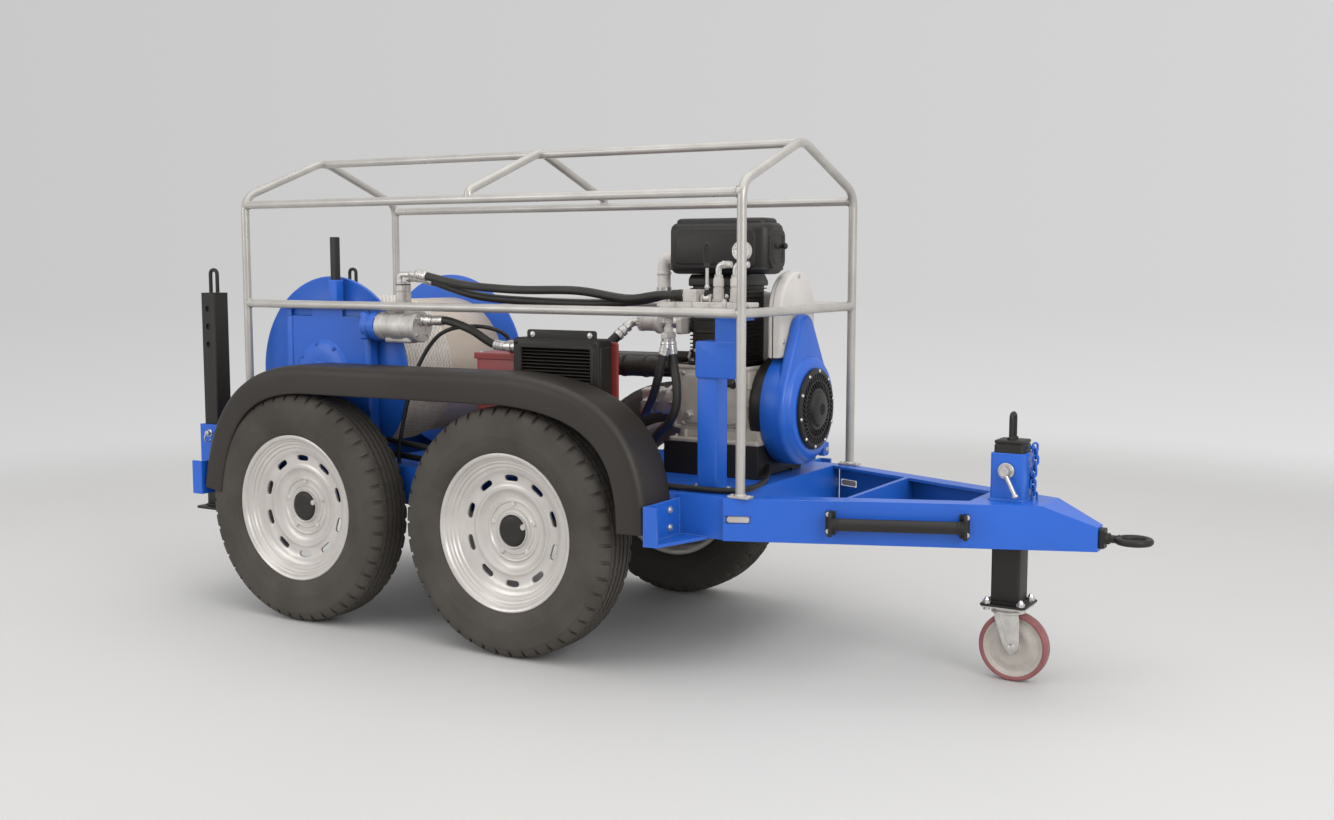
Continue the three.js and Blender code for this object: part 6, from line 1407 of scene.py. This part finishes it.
route = softened([(630, 0, 1080.5), (589, 0, 1080.5), (589, 0, 900), (691, 0, 900)], 34, 10)
seam = [(18, -4), (21, -3), (21.6, 0), (21, 3), (18, 4)]
seams = [turned(seam, place, axis, 40, closed=True) for place, axis in (
    ((620, 0, 1080.5), "x"), ((589, 0, 1038), "z"), ((589, 0, 946), "z"), ((640, 0, 900), "x"))]
base = turned([(0, 0), (27, 0), (28, 1.5), (28, 9), (26, 10), (0, 10)], (680, 0, 900), "x", 40)
clamp = turned([(20.5, -7), (22, -6), (22, 6), (20.5, 7)], (589, 0, 992), "z", 40, closed=True)
piece("intake_elbow", {cowl_enamel: [bar(route, 19, 28), *seams, base], zinc_plate: [clamp]}, "intake_pipe")

silencer = [(0, 430), (12, 430), (20, 431), (27, 434), (30, 439), (30, 470), (31, 471.5), (31, 474),
            (30, 475.5), (30, 556), (28, 562), (22, 578), (17, 592), (16, 604), (0, 604)]
route = softened([(600, 0, 768), (618, 0, 768), (618, 0, 801), (691, 0, 801)], 15, 8)
band = [(29.5, -5), (32.4, -4), (32.4, 4), (29.5, 5)]
dark = [turned(silencer, (0, 0, 768), "x", 48), bar(route, 16, 24),
        *[turned(band, (x, 0, 768), "x", 48, closed=True) for x in (456, 530)]]
plate = turned([(0, 0), (26, 0), (27, 1.5), (27, 8), (0, 8)], (682, 0, 801), "x", 6)
piece("silencer", {muffler_steel: dark, zinc_plate: [plate]}, "muffler")
print("The filter and the pipes are made")

# %% [markdown]
# The oil filter is a spun can on a ribbed head, with an arm to the cylinder. The hydraulic pump hangs on
# the crankcase by a bell housing with bolts around its flange. Turned profiles again do the round work,
# and the bolts are placed by an angle.

# %% Oil filter and pump
FILTER = (0, -62, 900)
can = [(0, 545), (18, 545), (23, 548), (25, 553), (25, 561), (24, 562.5), (25, 564), (25, 598), (27, 600),
       (27, 604), (30, 606), (32, 609), (32, 618), (30, 621), (22, 623), (0, 623)]
arm = [(0, 622), (14, 622), (14, 640), (16, 642), (16, 650), (14, 652), (14, 676), (0, 676)]
flute = block((548, 560), (-1.6, 1.6), (23.8, 26), 0.8, "x", 0.5)
pale = [turned(can, FILTER, "x", 56), block((673.7, 689.7), (-78, -21), (868, 914), 8, "x", 2.5),
        *[moved(flute, spin, "x", FILTER) for spin in np.arange(18) * np.pi / 9]]
lead = unit(np.array([-34.0, -42.0, -48.0]))
elbow_end = np.array([520, -62, 900]) + lead * 66
grip = [(12, 0), (16, 1), (16, 11), (12, 12)]
bright = [turned(arm, FILTER, "x", 30), nut((628, -62, 900), "x", 17, 10),
          bar(softened([(546, -62, 900), (520, -62, 900), elbow_end], 14, 10), 12, 24, "z"),
          *[turned(grip, elbow_end - lead * back, lead, sides, closed=True)
            for back, sides in ((50, 6), (32, 32), (16, 32))]]
to_tank = softened([elbow_end - lead * 4, elbow_end + lead * 66, (400, -190, 742), (330, -190, 730),
                    (298, -190, 730)], 48, 14)
piece("spun_filter", {pale_casting: pale, zinc_plate: bright,
                      black_powder_coat: [bar(to_tank, 14, 24, "z")]}, "oil_filter")

bell = [(30, 554.7), (46, 554.7), (48, 557), (48, 566), (50, 572), (54, 600), (56, 618), (58, 624), (60, 626),
        (60, 637), (58, 639.6), (30, 639.6)]
port = [(0, 0), (15, 0), (15, 8), (12, 10), (12, 14), (15.6, 15), (15.6, 21), (0, 21)]
rib = block((572, 618), (-3, 3), (47, 56), 1.5, "x", 1)
casting = [turned(bell, AXLE, "x", 64, closed=True), block((473, 512), (67, 143), (622, 698), 12, "x", 3),
           block((514, 536), (70, 140), (625, 695), 14, "x", 2),
           block((538, 556), (67, 143), (622, 698), 12, "x", 2.5),
           *[moved(rib, spin, "x", AXLE) for spin in np.arange(8) * np.pi / 4]]
bright = [*[nut(place, "-x", 6, 5) for place in around((472.7, *AXLE[1:]), "x", 40, 4, np.pi / 4)],
          *bolts(around((624, *AXLE[1:]), "x", 54, 8, 0.2), "-x", 4.5, 4),
          turned(port, (513.7, 68, 660), "-y", 6)]
piece("pump_body", {sand_cast_aluminium: casting, zinc_plate: bright}, "hydraulic_pump")
print("The oil filter and the pump are made")

# %% [markdown]
# On the drawbar are two grab handles, each a round bar between two end plates that follow the slope of
# the drawbar's sides, and the towing eye, a ring forged onto a shank. The handles are made along the
# x axis first and then turned by the drawbar's own angle, which is simpler than sloping every number.

# %% Handles and towing eye
SLOPE = math.radians(22.03)
for side, hand in (("right", 1), ("left", -1)):
    origin, turn_by = (1235.3, -hand * 271.1, 415.5), hand * SLOPE
    grip = [(0, 4), (14.6, 4), (16, 6), (16, 336), (14.6, 338), (0, 338)]
    bands = [[(15.5, x - 2), (17.4, x - 1), (17.4, x + 1), (15.5, x + 2)] for x in (16, 24, 318, 326)]
    black = [turned(grip, (0, -hand * 28, 0), "x", 36),
             *[turned(band, (0, -hand * 28, 0), "x", 36, closed=True) for band in bands],
             *[block((x, x + 9), sorted((0, -hand * 44)), (-31, 31), 10, "x", 1.8) for x in (0, 333)],
             *[block((x, x + 26), sorted((0, -hand * 6)), (-31, 31), 5, "y") for x in (-8, 324)]]
    screws = bolts([(x, -hand * 6, z) for x in (-1, 343) for z in (-22, 22)], (0, -hand, 0), 5, 4)
    piece("grab_bar_" + side, {black_powder_coat: [moved(shell, turn_by, shift=origin) for shell in black],
                               zinc_plate: [moved(shell, turn_by, shift=origin) for shell in screws]},
          "grab_handle_" + side)

shank = [(0, 1858), (15, 1858), (15, 1862), (12, 1866), (10, 1870), (10, 1886), (13, 1892), (0, 1896)]
piece("eye_forging", {black_powder_coat: [
    block((1845.6, 1859.6), (-18, 18), (367, 417), 7, "x", 2), turned(shank, (0, 0, 392), "x", 28),
    torus((1927.6, 0, 392), "z", 38, 9, 72), nut((1862, 0, 392), "x", 15, 9)]}, "towing_eye")
print("The handles and the eye are made")

# %% [markdown]
# The frame and the drawbar keep their solids. What is fixed on them is small and separate: the bolts of
# the fender brackets, a pale strip on each side of the drawbar, three drain pipes on the deck and a safety
# chain at the nose. The chain is a row of long links, each turned a quarter against the one before.

# %% Fixings on the frame


def link(centre, across, length=24, width=13, wire=3):
    """A link: a closed path of two straights and two half circles, with a round wire carried along it."""
    t = np.arange(40) / 40 * 2 * np.pi
    along = np.array([0.0, 0, 1])
    straight = np.sign(np.sin(t))[:, None] * (length - width) / 2 * along
    rounded = width / 2 * (np.cos(t)[:, None] * across + np.sin(t)[:, None] * along)
    path = np.asarray(centre, float) + straight + rounded
    heading = unit(np.roll(path, -1, axis=0) - np.roll(path, 1, axis=0))
    flat = np.cross(along, across)
    side = np.cross(heading, flat)
    q = np.arange(10) * np.pi / 5
    ring = np.cos(q)[None, :, None] * side[:, None] + np.sin(q)[None, :, None] * flat
    return skin(path[:, None] + wire * ring, round_rows=True)


bright, plates = [], []
for hand in (1, -1):
    for way, x in ((1, 851), (-1, -763)):
        places = [(x + way * 1.2, -hand * side, z) for z in (434, 388) for side in (410, 500)]
        bright += bolts(places, (way, 0, 0), 8, 6)
    strip = block((-29, 29), (-1, 1), (-8, 8), 7, "y", 0.5)
    plates.append(moved(strip, hand * SLOPE, shift=(1020, -hand * 353, 415.5)))
piece("frame_bolts", {zinc_plate: bright, pale_casting: plates})

DRAINS = [
    (9, [(-252, -296, 541), (30, -299, 514), (80, -246, 511), (104, -236, 511)], "y"),
    (9, [(-252, -297, 499), (30, -300, 481), (84, -232, 481), (104, -224, 481)], "y"),
    (8, [(578, -296, 480), (803, -324, 480), (935, -324, 480), (990, -306, 480), (1004, -236, 480),
         (978, -120, 480), (940, -30, 480), (922, 10, 500)], "z"),
]
pipes = [bar(softened(corners, 60, 10), radius, 20, across) for radius, corners, across in DRAINS]
piece("deck_pipes", {black_powder_coat: pipes})

LINKS, LINK_STEP = 9, 15.5
links = []
for count in range(LINKS):
    spin = 0.7 + (count % 2) * np.pi / 2
    place = (1674 + 3.2 * math.sin(count * 0.9), 12 + 1.5 * math.cos(count * 1.3), 604 - count * LINK_STEP)
    links.append(link(place, np.array([math.cos(spin), math.sin(spin), 0])))
piece("safety_chain", {blue_enamel: [*links, rod(5, 0, 12, (1662, 12, 604), "x", 20)]})
print("The fixings are made")

# %% [markdown]
# Five solids stay as they are: the frame, the drawbar, the two axles and the blower's wheel. Their shapes
# are flat plate and round bar, so they need no other surface, only their finish.

# %% Finishes of the solids that stay
KEPT = {
    blue_enamel: ["main_frame", "drawbar"],
    black_powder_coat: ["front_axle", "rear_axle"],
    sand_cast_aluminium: ["flywheel_fan"],
}
for material, names in KEPT.items():
    for name in names:
        solid = bpy.data.objects[name]
        if not solid.material_slots:
            solid.data.materials.append(material)
        for place in solid.material_slots:
            place.material = material
print("Finishes given to", sum(len(names) for names in KEPT.values()), "solids")
